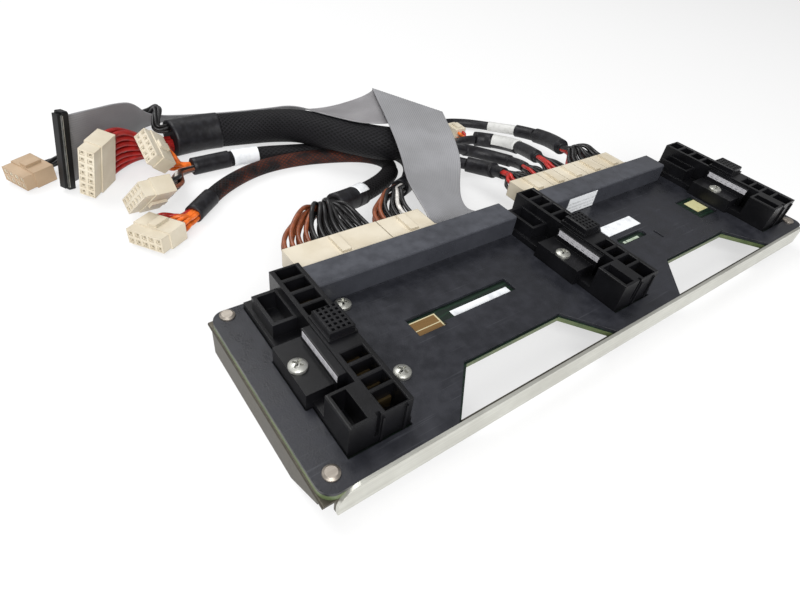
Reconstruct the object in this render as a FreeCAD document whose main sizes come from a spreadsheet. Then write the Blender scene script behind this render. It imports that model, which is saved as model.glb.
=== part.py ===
import FreeCAD, Part
import math
import os
import Sketcher
from FreeCAD import Placement, Rotation, Vector

doc = FreeCAD.newDocument("power_backplane")
sheet = doc.addObject("Spreadsheet::Sheet", "sizes")

# Every size is in millimetres. X runs along the board, Y from its front rail to its cables,
# Z up from the feet.
SIZES = {
    # Board stack, from the feet up
    "board_length": 347.0,
    "board_depth": 95.7,
    "stand_height": 13.8,
    "board_thickness": 2.4,
    "cover_thickness": 1.5,
    "cover_setback": 0.9,
    "sheet_thickness": 1.2,
    "corner_radius": 6.0,
    # Steel bracket and front rail
    "wall_outset": 0.8,
    "wall_back_inset": 4.6,
    "wall_foot_inset": 21.7,
    "wall_nose_inset": 3.0,
    "wall_nose_drop": 1.3,
    "flange_drop": 8.2,
    "bend_radius": 0.8,
    "rail_thickness": 1.5,
    "rail_left_inset": 4.5,
    "rail_right_inset": 2.9,
    "rail_left_radius": 8.5,
    "rail_right_radius": 4.0,
    "pin_inset": 3.0,
    "pin_back_inset": 12.0,
    # Row of connectors: room at both ends of the board, and before and behind a housing
    "end_left": 6.6,
    "end_right": 44.4,
    "housing_front_inset": 9.8,
    "housing_back_inset": 2.5,
    # Notches in the front edge: left sides from the connector before them, right sides from the next one
    "notch_front_left": 51.0,
    "notch_back_left": 72.4,
    "notch_back_right": 18.3,
    "notch_front_right": 2.9,
    "notch_depth": 21.3,
    "notch_margin": 1.6,
    # Windows of the cover, from the connector beside them and from the middle of its length
    "slot_left": 64.0,
    "slot_step": 79.3,
    "slot_right": 23.6,
    "slot_front": 9.0,
    "slot_step_front": 6.7,
    "slot_back": 2.0,
    "oval_left": 58.9,
    "oval_length": 24.0,
    "oval_front": 9.2,
    "oval_width": 5.4,
    "oval_corner": 1.6,
    "slit_left": 88.6,
    "slit_width": 1.3,
    "slit_front": 15.8,
    "slit_length": 7.0,
    "window_left": 16.1,
    "window_right": 3.2,
    "window_front": 14.8,
    "window_back": 4.3,
    # One connector housing, measured from its origin and from the middle of its length
    "base_left": 7.8,
    "base_right": 34.6,
    "base_height": 4.5,
    "power_left": 19.9,
    "power_right": 33.9,
    "power_height": 16.6,
    "pocket_left": 22.2,
    "pocket_length": 9.4,
    "pocket_end_wall": 0.7,
    "pocket_back_start": 10.2,
    "pocket_back_divider": 2.0,
    "pocket_front_start": 11.9,
    "pocket_front_divider": 1.8,
    "pocket_depth": 12.0,
    "pocket_lead": 0.4,
    "block_round": 0.6,
    "block_overlap": 1.0,
    "guide_front_back": 25.6,
    "guide_front_right": 15.4,
    "guide_front_depth": 11.5,
    "guide_end_wall": 1.2,
    "guide_back_left": 9.3,
    "guide_back_front": 16.8,
    "guide_back_inset": 5.4,
    "guide_back_height": 11.5,
    "guide_back_depth": 8.5,
    "guide_back_gap": 0.9,
    "guide_wall": 1.6,
    "ledge_left": 5.0,
    "ledge_front": 18.0,
    "ledge_back": 8.5,
    "ledge_height": 9.6,
    "spine_left": 16.3,
    "spine_front": 20.0,
    "spine_back": 7.0,
    "spine_drop": 1.0,
    "groove_left": 18.4,
    "groove_width": 1.8,
    "groove_depth": 1.6,
    "end_rib": 0.9,
    "end_rib_first": 20.6,
    "end_rib_pitch": 10.0,
    "end_rib_drop": 2.0,
    "opening_clearance": 0.3,
    # Signal module
    "module_left": 21.9,
    "module_width": 11.0,
    "module_length": 14.1,
    "module_centre": 2.1,
    "module_rise": 4.2,
    "module_lip": 0.9,
    "module_lip_height": 1.0,
    "module_bevel": 0.5,
    "signal_pitch": 2.3,
    "signal_hole": 1.3,
    "signal_depth": 7.0,
    "signal_pin": 0.64,
    "signal_pin_drop": 1.5,
    # Contacts of the power pockets
    "leaf_thickness": 1.0,
    "leaf_margin": 0.8,
    "leaf_drop": 6.5,
    # Fasteners
    "rivet_inset_x": 6.6,
    "rivet_front_inset": 7.1,
    "rivet_back_inset": 3.8,
    "rivet_head": 6.4,
    "rivet_head_height": 1.3,
    "rivet_shank": 3.2,
    "screw_head": 7.4,
    "screw_head_height": 2.6,
    "screw_shank": 3.5,
    "screw_right_x": 45.4,
    "screw_hood_gap": 0.4,
    "screw_front_y": 21.6,
    "screw_ledge_x": 8.7,
    "screw_ledge_y": 4.9,
    # Hood over the rear headers, from the board's back edge and from the connectors beside it
    "hood_height": 11.9,
    "hood_front_inset": 17.1,
    "hood_back_inset": 2.6,
    "hood_crown": 0.8,
    "hood_wall": 1.5,
    "hood_start": 35.3,
    "hood_left_past": 6.9,
    "hood_right_short": 2.2,
    # Plugs and headers
    "row_start": 34.9,
    "row_gap": 0.6,
    "far_pitch": 4.2,
    "cell_margin": 1.2,
    "plug_height": 9.6,
    "row_pitch": 4.2,
    "plug_length": 24.0,
    "nose_step": 0.6,
    "cell_hole": 2.7,
    "cell_depth": 7.0,
    "latch_width": 5.0,
    "latch_setback": 2.0,
    "latch_height": 1.6,
    "plug_lift": 0.9,
    "fit_clearance": 0.25,
    "header_depth": 12.0,
    "header_height": 11.4,
    "header_back": 2.0,
    "wire_diameter": 2.2,
    # Flat cable, the socket behind the hood and the clamp at its far end
    "ribbon_width": 38.1,
    "ribbon_thickness": 0.9,
    "ribbon_rise": 4.0,
    "socket_margin": 1.15,
    "socket_gap": 0.3,
    "socket_end": 0.7,
    "socket_depth": 3.6,
    "socket_height": 6.2,
    "socket_step": 0.4,
    "nose_inset": 2.4,
    "header_rim": 1.0,
    "clamp_bar": 4.2,
    "clamp_bar_half": 3.6,
    "clamp_bar_past": 2.75,
    "clamp_slot": 1.2,
    "clamp_slot_past": 0.4,
    "clamp_body": 6.4,
    "clamp_body_half": 3.2,
    "clamp_body_past": 2.15,
    # Round cords, sleeve outside
    "trunk_diameter": 21.0,
    "cord_left_diameter": 9.0,
    "cord_inner_diameter": 9.4,
    "branch_first_diameter": 7.2,
    "branch_diameter": 6.4,
    "branch_offset": 4.1,
    "peach_diameter": 5.4,
    "tall_bundle": 11.0,
    "mixed_bundle": 4.7,
    "orange_bundle": 4.2,
    "spare_bundle": 4.0,
    "bundle_margin": 0.3,
}

for row, (name, number) in enumerate(SIZES.items(), start=1):
    sheet.set("A%d" % row, name)
    sheet.set("B%d" % row, str(number))
    sheet.setAlias("B%d" % row, name)
doc.recompute()


class Dim:
    """A size held as its value in millimetres and as its formula on the sheet."""

    def __init__(self, value, formula):
        self.value = value
        self.formula = formula

    def __add__(self, other):
        other = dim(other)
        return Dim(self.value + other.value, "(%s + %s)" % (self.formula, other.formula))

    def __radd__(self, other):
        return dim(other) + self

    def __sub__(self, other):
        other = dim(other)
        return Dim(self.value - other.value, "(%s - %s)" % (self.formula, other.formula))

    def __rsub__(self, other):
        return dim(other) - self

    def __mul__(self, factor):
        factor = dim(factor)
        return Dim(self.value * factor.value, "(%s * %s)" % (self.formula, factor.formula))

    __rmul__ = __mul__

    def __truediv__(self, other):
        other = dim(other)
        return Dim(self.value / other.value, "(%s / %s)" % (self.formula, other.formula))

    def __neg__(self):
        return Dim(-self.value, "(0 - %s)" % self.formula)


def dim(size):
    """Give a plain number the same form as a size from the sheet."""
    if isinstance(size, Dim):
        return size
    return Dim(float(size), "%.6f" % size)


def size(name):
    return Dim(float(sheet.get(name)), "sizes." + name)


def bind(owner, place, value):
    """Tie one property of an object to the sheet."""
    owner.setExpression(place, dim(value).formula)


def draw(sketch, outlines):
    """Draw closed outlines and circles, every point and diameter tied to the sheet."""
    shapes, rules, formulas = [], [], []

    def hold(kind, geometry, spot, value):
        value = dim(value)
        rules.append(Sketcher.Constraint(kind, -1, 1, geometry, spot, value.value))
        formulas.append(value.formula)

    for outline in outlines:
        first = len(shapes)
        if isinstance(outline, tuple):
            x, y, diameter = (dim(item) for item in outline)
            shapes.append(Part.Circle(Vector(x.value, y.value, 0), Vector(0, 0, 1), diameter.value / 2))
            hold("DistanceX", first, 3, x)
            hold("DistanceY", first, 3, y)
            rules.append(Sketcher.Constraint("Diameter", first, diameter.value))
            formulas.append(diameter.formula)
            continue
        count = len(outline)
        points = [Vector(dim(x).value, dim(y).value, 0) for x, y in outline]
        for i in range(count):
            shapes.append(Part.LineSegment(points[i], points[(i + 1) % count]))
            rules.append(Sketcher.Constraint("Coincident", first + i, 2, first + (i + 1) % count, 1))
            formulas.append(None)
        for i, (x, y) in enumerate(outline):
            hold("DistanceX", first + i, 1, x)
            hold("DistanceY", first + i, 1, y)
    sketch.addGeometry(shapes, False)
    sketch.addConstraint(rules)
    for index, formula in enumerate(formulas):
        if formula:
            sketch.setExpression("Constraints[%d]" % index, formula)


def rectangle(left, right, front, back):
    return [(left, front), (right, front), (right, back), (left, back)]


def new_body(label):
    body = doc.addObject("PartDesign::Body", label)
    body.Label = label
    return body


def sketch_on(body, role, level):
    """Start a sketch on one of the body's own planes, moved along that plane's normal."""
    sketch = body.newObject("Sketcher::SketchObject", body.Name + "_sketch")
    plane = [item for item in body.Origin.OriginFeatures if item.Role == role][0]
    sketch.AttachmentSupport = [(plane, "")]
    sketch.MapMode = "FlatFace"
    bind(sketch, "AttachmentOffset.Base.z", level)
    return sketch


def solid_from(body, kind, role, level, outlines, length):
    """Pad or pocket a set of outlines drawn on one plane."""
    sketch = sketch_on(body, role, level)
    draw(sketch, outlines)
    feature = body.newObject("PartDesign::" + kind, body.Name + "_" + kind.lower())
    feature.Profile = sketch
    bind(feature, "Length", length)
    sketch.Visibility = False
    return feature


def raise_up(body, outlines, bottom, top):
    """Pad outlines of the XY plane from one height to another."""
    return solid_from(body, "Pad", "XY_Plane", bottom, outlines, dim(top) - bottom)


def sink(body, outlines, top, bottom):
    """Cut outlines of the XY plane downwards from one height to another."""
    return solid_from(body, "Pocket", "XY_Plane", top, outlines, dim(top) - bottom)


def along_x(body, outlines, start, end):
    """Pad outlines of the YZ plane from one X to another."""
    return solid_from(body, "Pad", "YZ_Plane", start, outlines, dim(end) - start)


def along_y(body, outlines, front, back):
    """Pad outlines of the XZ plane from one Y to another."""
    return solid_from(body, "Pad", "XZ_Plane", -dim(back), outlines, dim(back) - front)


def hollow_y(body, outlines, front, back):
    """Cut outlines of the XZ plane from a front Y to a back Y."""
    return solid_from(body, "Pocket", "XZ_Plane", -dim(front), outlines, dim(back) - front)


def dress(body, kind, amount, test):
    """Round or bevel the edges of the body so far that pass a test of their place."""
    doc.recompute()
    base = body.Tip
    names = ["Edge%d" % (i + 1) for i, edge in enumerate(base.Shape.Edges) if test(edge)]
    feature = body.newObject("PartDesign::" + kind, body.Name + "_" + kind.lower())
    feature.Base = (base, names)
    bind(feature, "Radius" if kind == "Fillet" else "Size", amount)
    return feature


def straight(edge, axis):
    """Tell whether an edge is a straight line along one axis."""
    if not isinstance(edge.Curve, Part.Line) and not isinstance(edge.Curve, Part.LineSegment):
        return False
    direction = edge.Curve.Direction
    return abs(abs(getattr(direction, axis)) - 1) < 1e-6


def near(number, target):
    return abs(number - dim(target).value) < 0.02


def place(body, x, y, z):
    bind(body, "Placement.Base.x", x)
    bind(body, "Placement.Base.y", y)
    bind(body, "Placement.Base.z", z)


def group(label, members):
    """Gather separate solids under one name."""
    compound = doc.addObject("Part::Compound", label)
    compound.Label = label
    compound.Links = members
    return compound


# Heights and edges shared by the whole stack
half_length = size("board_length") / 2
back_y = (size("board_depth") + size("rail_thickness")) / 2
front_y = back_y - size("board_depth")
rail_y = -back_y
plate_top = size("stand_height")
plate_bottom = plate_top - size("sheet_thickness")
board_top = plate_top + size("board_thickness")
cover_top = board_top + size("cover_thickness")
wall_x = half_length + size("wall_outset")
hood_top = cover_top + size("hood_height")
hood_y = back_y - size("hood_front_inset")
spacing = (size("board_length") - size("end_left") - size("end_right")) / 2
connector_x = [size("end_left") - half_length + step * spacing for step in range(3)]
housing_half = (size("board_depth") - size("housing_front_inset") - size("housing_back_inset")) / 2
connector_y = back_y - size("housing_back_inset") - housing_half
rivet_x = half_length - size("rivet_inset_x")
rivet_places = [(sign * rivet_x, y) for sign in (-1, 1)
                for y in (front_y + size("rivet_front_inset"), back_y - size("rivet_back_inset"))]
screw_back_y = hood_y - size("screw_head") / 2 - size("screw_hood_gap")
cover_screws = [(x + size("screw_right_x"), y) for x in connector_x[:2]
                for y in (screw_back_y, connector_y - size("screw_front_y"))]
ledge_screws = [(x + size("screw_ledge_x"), connector_y - size("screw_ledge_y")) for x in connector_x]
# How far a cut runs on past an open edge
overrun = dim(4)


def notch(origin, margin):
    """Outline of one front notch, open at the front, let out by a margin."""
    front = front_y - overrun
    following = origin + spacing
    steep = overrun / size("notch_depth")
    slant_left = (size("notch_back_left") - size("notch_front_left")) * steep
    slant_right = (size("notch_back_right") - size("notch_front_right")) * steep
    back = front_y + size("notch_depth") + margin
    return [
        (origin + size("notch_front_left") - slant_left - margin, front),
        (following - size("notch_front_right") + slant_right + margin, front),
        (following - size("notch_back_right") + margin, back),
        (origin + size("notch_back_left") - margin, back),
    ]


def window(origin, margin):
    """Outline of one bracket window below a notch, closed at the front by the flange."""
    front = front_y + 2 * size("sheet_thickness")
    back = front_y + size("notch_depth") + margin
    following = origin + spacing
    return [
        (origin + size("notch_front_left") - margin, front),
        (following - size("notch_front_right") + margin, front),
        (following - size("notch_back_right") + margin, back),
        (origin + size("notch_back_left") - margin, back),
    ]


# The flat cable's socket ends the left row of plugs; the cells share the room that it leaves
LEFT_ROW = [("left_wide", 12), ("left_narrow", 6)]
RIGHT_ROW = [("right_first", 5), ("right_second", 3), ("right_third", 4), ("right_fourth", 4),
             ("right_fifth", 4)]
socket_length = size("ribbon_width") + 2 * size("socket_margin")
socket_right = connector_x[1] + size("hood_left_past") - size("socket_end")
socket_left = socket_right - socket_length
row_room = socket_left - size("socket_gap") - connector_x[0] - size("row_start")
row_extra = len(LEFT_ROW) * size("cell_margin") + (len(LEFT_ROW) - 1) * size("row_gap")
cell_pitch = (row_room - row_extra) / sum(cells for name, cells in LEFT_ROW)


def plug_width(cells, pitch):
    return cells * pitch + size("cell_margin")


# Plugs on the board: label, left end, number of cells along X
BOARD_PLUGS = []
for origin, row in ((connector_x[0], LEFT_ROW), (connector_x[1], RIGHT_ROW)):
    left = origin + size("row_start")
    for name, cells in row:
        BOARD_PLUGS.append((name, left, cells))
        left = left + plug_width(cells, cell_pitch) + size("row_gap")
row_spans = []
for first, last in ((0, len(LEFT_ROW) - 1), (len(LEFT_ROW), len(BOARD_PLUGS) - 1)):
    name, left, cells = BOARD_PLUGS[last]
    row_spans.append((BOARD_PLUGS[first][1], left + plug_width(cells, cell_pitch)))

# Folded steel bracket that carries the board
bracket = new_body("steel_bracket")
raise_up(bracket, [rectangle(-wall_x, wall_x, front_y, back_y)], plate_bottom, plate_top)
wall_back = back_y - size("wall_back_inset")
wall_outline = [
    (wall_back, plate_bottom),
    (wall_back, dim(0)),
    (front_y + size("wall_foot_inset"), dim(0)),
    (front_y + size("wall_nose_inset"), plate_bottom - size("wall_nose_drop")),
    (front_y + size("wall_nose_inset"), plate_bottom),
]
along_x(bracket, [wall_outline], -wall_x, size("sheet_thickness") - wall_x)
along_x(bracket, [wall_outline], wall_x - size("sheet_thickness"), wall_x)
flange_left = size("rail_left_inset") - half_length
flange_right = half_length - size("rail_right_inset")
along_y(bracket, [rectangle(flange_left, flange_right, plate_top - size("flange_drop"), plate_bottom)],
        front_y, front_y + size("sheet_thickness"))
sink(bracket, [window(x, size("notch_margin")) for x in connector_x[:2]], plate_top, plate_bottom)
pin_inset = size("pin_inset")
sink(bracket, [rectangle(x + size("base_left") + pin_inset, x + size("base_right") - pin_inset,
                         connector_y - housing_half + pin_inset,
                         connector_y + housing_half - size("pin_back_inset"))
               for x in connector_x], plate_top, plate_bottom)
sink(bracket, [rectangle(left + pin_inset, right - pin_inset, back_y - size("header_depth") + pin_inset,
                         back_y - pin_inset) for left, right in row_spans], plate_top, plate_bottom)
sink(bracket, [(x, y, size("rivet_shank")) for x, y in rivet_places], plate_top, plate_bottom)
sink(bracket, [(x, y, size("screw_shank")) for x, y in cover_screws], plate_top, plate_bottom)
dress(bracket, "Fillet", size("bend_radius"), lambda edge: near(edge.BoundBox.ZMin, plate_top)
      and near(abs(edge.BoundBox.Center.x), wall_x) and straight(edge, "y"))

# Bright rail across the front
rail = new_body("front_rail")
along_y(rail, [rectangle(flange_left, flange_right, plate_top - size("flange_drop"), cover_top)],
        rail_y, front_y)
dress(rail, "Fillet", size("rail_left_radius"), lambda edge: straight(edge, "y")
      and near(edge.BoundBox.XMin, flange_left) and near(edge.BoundBox.ZMin, cover_top))
dress(rail, "Fillet", size("rail_right_radius"), lambda edge: straight(edge, "y")
      and near(edge.BoundBox.XMin, flange_right) and near(edge.BoundBox.ZMin, cover_top))

# Green circuit board
board = new_body("circuit_board")
outline = rectangle(-half_length, half_length, front_y, back_y)
raise_up(board, [outline], plate_top, board_top)
dress(board, "Fillet", size("corner_radius"), lambda edge: straight(edge, "z"))
sink(board, [notch(x, dim(0)) for x in connector_x[:2]], board_top, plate_top)
sink(board, [(x, y, size("rivet_shank")) for x, y in rivet_places], board_top, plate_top)
sink(board, [(x, y, size("screw_shank")) for x, y in cover_screws + ledge_screws], board_top, plate_top)

# Moulded cover with its hood
cover = new_body("insulator_cover")
raise_up(cover, [outline], board_top, cover_top)
dress(cover, "Fillet", size("corner_radius"), lambda edge: straight(edge, "z"))
sink(cover, [notch(x, size("cover_setback")) for x in connector_x[:2]], cover_top, board_top)
hood_back = back_y - size("hood_back_inset")
wall, crown = size("hood_wall"), size("hood_crown")
hood_shell = [
    (hood_y, board_top), (hood_y, hood_top - crown), (hood_y + crown, hood_top), (hood_back, hood_top),
    (hood_back, hood_top - wall), (hood_y + wall + crown / 2, hood_top - wall),
    (hood_y + wall, hood_top - wall - crown / 2), (hood_y + wall, board_top),
]
header_front = back_y - size("header_depth") - size("opening_clearance")
hood_end = [
    (hood_y, board_top), (hood_y, hood_top - crown), (hood_y + crown, hood_top), (header_front, hood_top),
    (header_front, board_top),
]
hood_spans = [
    (connector_x[0] + size("hood_start"), connector_x[1] + size("hood_left_past"), row_spans[0][0]),
    (connector_x[1] + size("hood_start"), connector_x[2] - size("hood_right_short"), row_spans[1][0]),
]
for start, end, row_left in hood_spans:
    sink(cover, [rectangle(start + wall, end - wall, hood_y + wall / 2, back_y + overrun)],
         cover_top, board_top)
    sink(cover, [rectangle(row_left - size("fit_clearance"), end - wall, header_front, back_y + overrun)],
         cover_top, board_top)
    along_x(cover, [hood_shell], start, end)
    along_x(cover, [hood_end], start, start + wall)
    along_x(cover, [hood_end], end - wall, end)
gap = size("opening_clearance")


def connector_opening(x, back):
    """Outline that lets one connector housing through the cover."""
    left, ledge = x + size("base_left") - gap, x + size("ledge_left") - gap
    right = x + size("base_right") + gap
    front = connector_y - housing_half - size("end_rib") - gap
    ledge_front = connector_y - size("ledge_front") - gap
    ledge_back = connector_y + size("ledge_back") + gap
    return [(left, front), (right, front), (right, back), (left, back), (left, ledge_back),
            (ledge, ledge_back), (ledge, ledge_front), (left, ledge_front)]


housing_back = connector_y + housing_half + gap
sink(cover, [connector_opening(connector_x[0], housing_back),
             connector_opening(connector_x[1], back_y + overrun),
             connector_opening(connector_x[2], housing_back)], cover_top, board_top)


def cover_windows():
    """Outlines of the openings that show the board through the cover."""
    left, middle, right = connector_x
    slot_left, slot_step = left + size("slot_left"), left + size("slot_step")
    slot_right = middle - size("slot_right")
    slot_front, step_front = connector_y - size("slot_front"), connector_y - size("slot_step_front")
    slot_back = connector_y + size("slot_back")
    slot = [(slot_left, slot_front), (slot_step, slot_front), (slot_step, step_front),
            (slot_right, step_front), (slot_right, slot_back), (slot_left, slot_back)]
    oval_left, oval_front = middle + size("oval_left"), connector_y - size("oval_front")
    corner = size("oval_corner")
    oval_right, oval_back = oval_left + size("oval_length"), oval_front + size("oval_width")
    oval = [(oval_left + corner, oval_front), (oval_right - corner, oval_front),
            (oval_right, oval_front + corner), (oval_right, oval_back - corner),
            (oval_right - corner, oval_back), (oval_left + corner, oval_back),
            (oval_left, oval_back - corner), (oval_left, oval_front + corner)]
    slit_left, slit_front = middle + size("slit_left"), connector_y - size("slit_front")
    slit = rectangle(slit_left, slit_left + size("slit_width"), slit_front, slit_front + size("slit_length"))
    pane = rectangle(right - size("window_left"), right + size("window_right"),
                     connector_y - size("window_front"), connector_y + size("window_back"))
    return [slot, oval, slit, pane]


sink(cover, cover_windows(), cover_top, board_top)
sink(cover, [(x, y, size("rivet_shank")) for x, y in rivet_places], cover_top, board_top)
sink(cover, [(x, y, size("screw_shank")) for x, y in cover_screws], cover_top, board_top)

# Rivets and screws
def turned(label, profile, x, y, z):
    """Spin a half profile of radius and height about its own upright axis."""
    body = new_body(label)
    sketch = sketch_on(body, "XZ_Plane", dim(0))
    draw(sketch, [profile])
    spin = body.newObject("PartDesign::Revolution", label + "_spin")
    spin.Profile = sketch
    spin.ReferenceAxis = (sketch, ["V_Axis"])
    sketch.Visibility = False
    place(body, x, y, z)
    return body


def fastener(label, head, head_height, shank, drop, x, y, z):
    """One domed head at height z with a shank below it."""
    return turned(label, [
        (dim(0), -drop), (shank / 2, -drop), (shank / 2, dim(0)), (head / 2, dim(0)),
        (head / 2, head_height / 2), (head / 2 * 0.7, head_height), (dim(0), head_height),
    ], x, y, z)


rivets = [fastener("rivet", size("rivet_head"), size("rivet_head_height"), size("rivet_shank"),
                   cover_top - plate_bottom, x, y, cover_top) for x, y in rivet_places]
group("corner_rivets", rivets)
ledge_top = board_top + size("ledge_height")
screws = [fastener("screw", size("screw_head"), size("screw_head_height"), size("screw_shank"),
                   cover_top - plate_bottom, x, y, cover_top) for x, y in cover_screws]
screws += [fastener("screw", size("screw_head"), size("screw_head_height"), size("screw_shank"),
                    ledge_top - plate_top, x, y, ledge_top) for x, y in ledge_screws]
group("connector_screws", screws)

# Blind-mate connectors: two groups of power pockets, guide pockets at both ends, a module bay in the middle
# The pocket at the front end is longer than its neighbours by this ratio
LONG_POCKET = 1.65
module_right = size("module_left") + size("module_width")
module_front = size("module_centre") - size("module_length") / 2
module_back = size("module_centre") + size("module_length") / 2
module_top = size("power_height") + size("module_rise")
pocket_right = size("pocket_left") + size("pocket_length")
pocket_floor = size("power_height") - size("pocket_depth")
spine_height = size("power_height") - size("spine_drop")


def pocket_spans():
    """Front and back of each power pocket along the housing."""
    outer = housing_half - size("pocket_end_wall")
    spans = []
    start, divider = size("pocket_back_start"), size("pocket_back_divider")
    wide = (outer - start - 3 * divider) / 4
    for step in range(4):
        front = start + step * (wide + divider)
        spans.append((front, front + wide))
    start, divider = size("pocket_front_start"), size("pocket_front_divider")
    wide = (outer - start - 3 * divider) / (3 + LONG_POCKET)
    for step in range(4):
        back = -(start + step * (wide + divider))
        front = -outer if step == 3 else back - wide
        spans.append((front, back))
    return spans


def make_housing(label):
    body = new_body(label)
    tall, power_left = size("power_height"), size("power_left")
    joined = power_left + size("block_overlap")
    raise_up(body, [rectangle(size("base_left"), size("base_right"), -housing_half, housing_half)],
             dim(0), size("base_height"))
    raise_up(body, [rectangle(power_left, size("power_right"), -housing_half, housing_half)], dim(0), tall)
    raise_up(body, [rectangle(size("base_left"), joined, -housing_half, -size("guide_front_back"))],
             dim(0), tall)
    guide_back = housing_half - size("guide_back_inset")
    raise_up(body, [rectangle(size("guide_back_left"), joined, size("guide_back_front"), guide_back)],
             dim(0), size("guide_back_height"))
    ledge_right = size("spine_left") + size("block_overlap")
    raise_up(body, [rectangle(size("ledge_left"), ledge_right, -size("ledge_front"), size("ledge_back"))],
             dim(0), size("ledge_height"))
    raise_up(body, [rectangle(size("spine_left"), joined, -size("spine_front"), size("spine_back"))],
             dim(0), spine_height)
    first, pitch, rib = size("end_rib_first"), size("end_rib_pitch"), size("end_rib")
    ribs = [rectangle(first + step * pitch, first + step * pitch + rib,
                      -housing_half - rib, rib - housing_half)
            for step in range(2)]
    raise_up(body, ribs, dim(0), tall - size("end_rib_drop"))
    dress(body, "Fillet", size("block_round"), lambda edge: straight(edge, "y") and (
        near(edge.BoundBox.ZMin, tall) and near(edge.BoundBox.XMin, size("power_right"))
        or near(edge.BoundBox.ZMin, tall) and near(edge.BoundBox.XMin, size("base_left"))
        or near(edge.BoundBox.ZMin, spine_height) and near(edge.BoundBox.XMin, size("spine_left"))))
    pockets = [rectangle(size("pocket_left"), pocket_right, front, back) for front, back in pocket_spans()]
    sink(body, pockets, tall, pocket_floor)
    lead = size("pocket_lead")
    dress(body, "Chamfer", lead, lambda edge: near(edge.BoundBox.ZMin, tall)
          and near(edge.BoundBox.ZMax, tall)
          and edge.BoundBox.XMin > (size("pocket_left") - lead).value
          and edge.BoundBox.XMax < (pocket_right + lead).value)
    sink(body, [rectangle(size("module_left"), module_right, module_front, module_back)], tall, dim(0))
    guide_wall, end_wall = size("guide_wall"), size("guide_end_wall")
    sink(body, [rectangle(size("base_left") + guide_wall, size("guide_front_right"), end_wall - housing_half,
                          -size("guide_front_back") - end_wall)], tall, tall - size("guide_front_depth"))
    sink(body, [rectangle(size("guide_back_left") + guide_wall, power_left - size("guide_back_gap"),
                          size("guide_back_front") + guide_wall, guide_back - guide_wall)],
         size("guide_back_height"), size("guide_back_height") - size("guide_back_depth"))
    groove_right = size("groove_left") + size("groove_width")
    sink(body, [rectangle(size("groove_left"), groove_right, -housing_half - overrun,
                          size("groove_depth") - housing_half)], tall, size("base_height"))
    sink(body, [(size("screw_ledge_x"), -size("screw_ledge_y"), size("screw_shank"))],
         size("ledge_height"), dim(0))
    return body


def signal_places():
    middle = size("module_left") + size("module_width") / 2
    centre, pitch = size("module_centre"), size("signal_pitch")
    return [(middle + (column - 1.5) * pitch, centre + (row - 2.5) * pitch)
            for row in range(6) for column in range(4)]


def squares(places, width):
    return [rectangle(x - width / 2, x + width / 2, y - width / 2, y + width / 2) for x, y in places]


def make_module(label):
    body = new_body(label)
    left, lip, rest = size("module_left"), size("module_lip"), size("power_height")
    raise_up(body, [rectangle(left, module_right, module_front, module_back)], dim(0), module_top)
    raise_up(body, [rectangle(left - lip, module_right + lip, module_front - lip, module_back + lip)],
             rest, rest + size("module_lip_height"))
    dress(body, "Chamfer", size("module_bevel"), lambda edge: near(edge.BoundBox.ZMin, module_top))
    sink(body, squares(signal_places(), size("signal_hole")), module_top, module_top - size("signal_depth"))
    return body


def make_leaves(label):
    """Two spring leaves against the side walls of each power pocket."""
    body = new_body(label)
    margin, thick = size("leaf_margin"), size("leaf_thickness")
    leaves = []
    for front, back in pocket_spans():
        for side in (front, back - thick):
            leaves.append(rectangle(size("pocket_left") + margin, pocket_right - margin, side, side + thick))
    raise_up(body, leaves, pocket_floor, size("power_height") - size("leaf_drop"))
    return body


def make_pins(label):
    body = new_body(label)
    raise_up(body, squares(signal_places(), size("signal_pin")), module_top - size("signal_depth"),
             module_top - size("signal_pin_drop"))
    return body


def copies(label, master):
    """Stand the same moulding at each connector place as nodes of their own."""
    nodes = []
    for side, x in zip(("left", "middle", "right"), connector_x):
        node = group(label + "_" + side, [master])
        place(node, x, connector_y, board_top)
        nodes.append(node)
    return nodes


housings = copies("power_connector", make_housing("housing"))
modules = copies("signal_module", make_module("module"))
group("power_contacts", copies("leaves", make_leaves("leaves")))
group("signal_contacts", copies("pins", make_pins("pins")))


# Plugs: cells in two rows, the mating end at -Y, the wires at the origin plane
# Shares of a plug's length that its nose and its latch take
NOSE_SHARE = 1 / 3
LATCH_SHARE = 5 / 8


def make_plug(label, cells, length, pitch):
    body = new_body(label)
    half = plug_width(cells, pitch) / 2
    tall, step = size("plug_height"), size("nose_step")
    nose = length * (1 - NOSE_SHARE)
    raise_up(body, [rectangle(-half, half, -nose, dim(0))], dim(0), tall)
    raise_up(body, [rectangle(step - half, half - step, -length, step - nose)], step, tall - step)
    latch = size("latch_width") / 2
    raise_up(body, [rectangle(-latch, latch, -length * LATCH_SHARE, -size("latch_setback"))],
             tall, tall + size("latch_height"))
    holes = []
    for column in range(cells):
        for row in (-1, 1):
            x = (column - (cells - 1) / 2) * pitch
            z = tall / 2 + row * size("row_pitch") / 2
            hole = size("cell_hole") / 2
            holes.append(rectangle(x - hole, x + hole, z - hole, z + hole))
    hollow_y(body, holes, -length, size("cell_depth") - length)
    return body


plugs = {}
headers = []
plug_z = board_top + size("plug_lift")
plug_back = back_y + size("plug_length") * (1 - NOSE_SHARE)
for name, left, cells in BOARD_PLUGS:
    half = plug_width(cells, cell_pitch) / 2
    plug = make_plug("plug_" + name, cells, size("plug_length"), cell_pitch)
    place(plug, left + half, plug_back, plug_z)
    plugs[name] = plug
    header = new_body("header_" + name)
    along_y(header, [rectangle(-half, half, dim(0), size("header_height"))], -size("header_depth"), dim(0))
    slack = size("fit_clearance") - size("nose_step")
    hollow_y(header, [rectangle(-half - slack, half + slack, size("plug_lift") - slack,
                                size("plug_lift") + size("plug_height") + slack)],
             size("header_back") - size("header_depth"), dim(0))
    place(header, left + half, back_y, board_top)
    headers.append(header)


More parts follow.
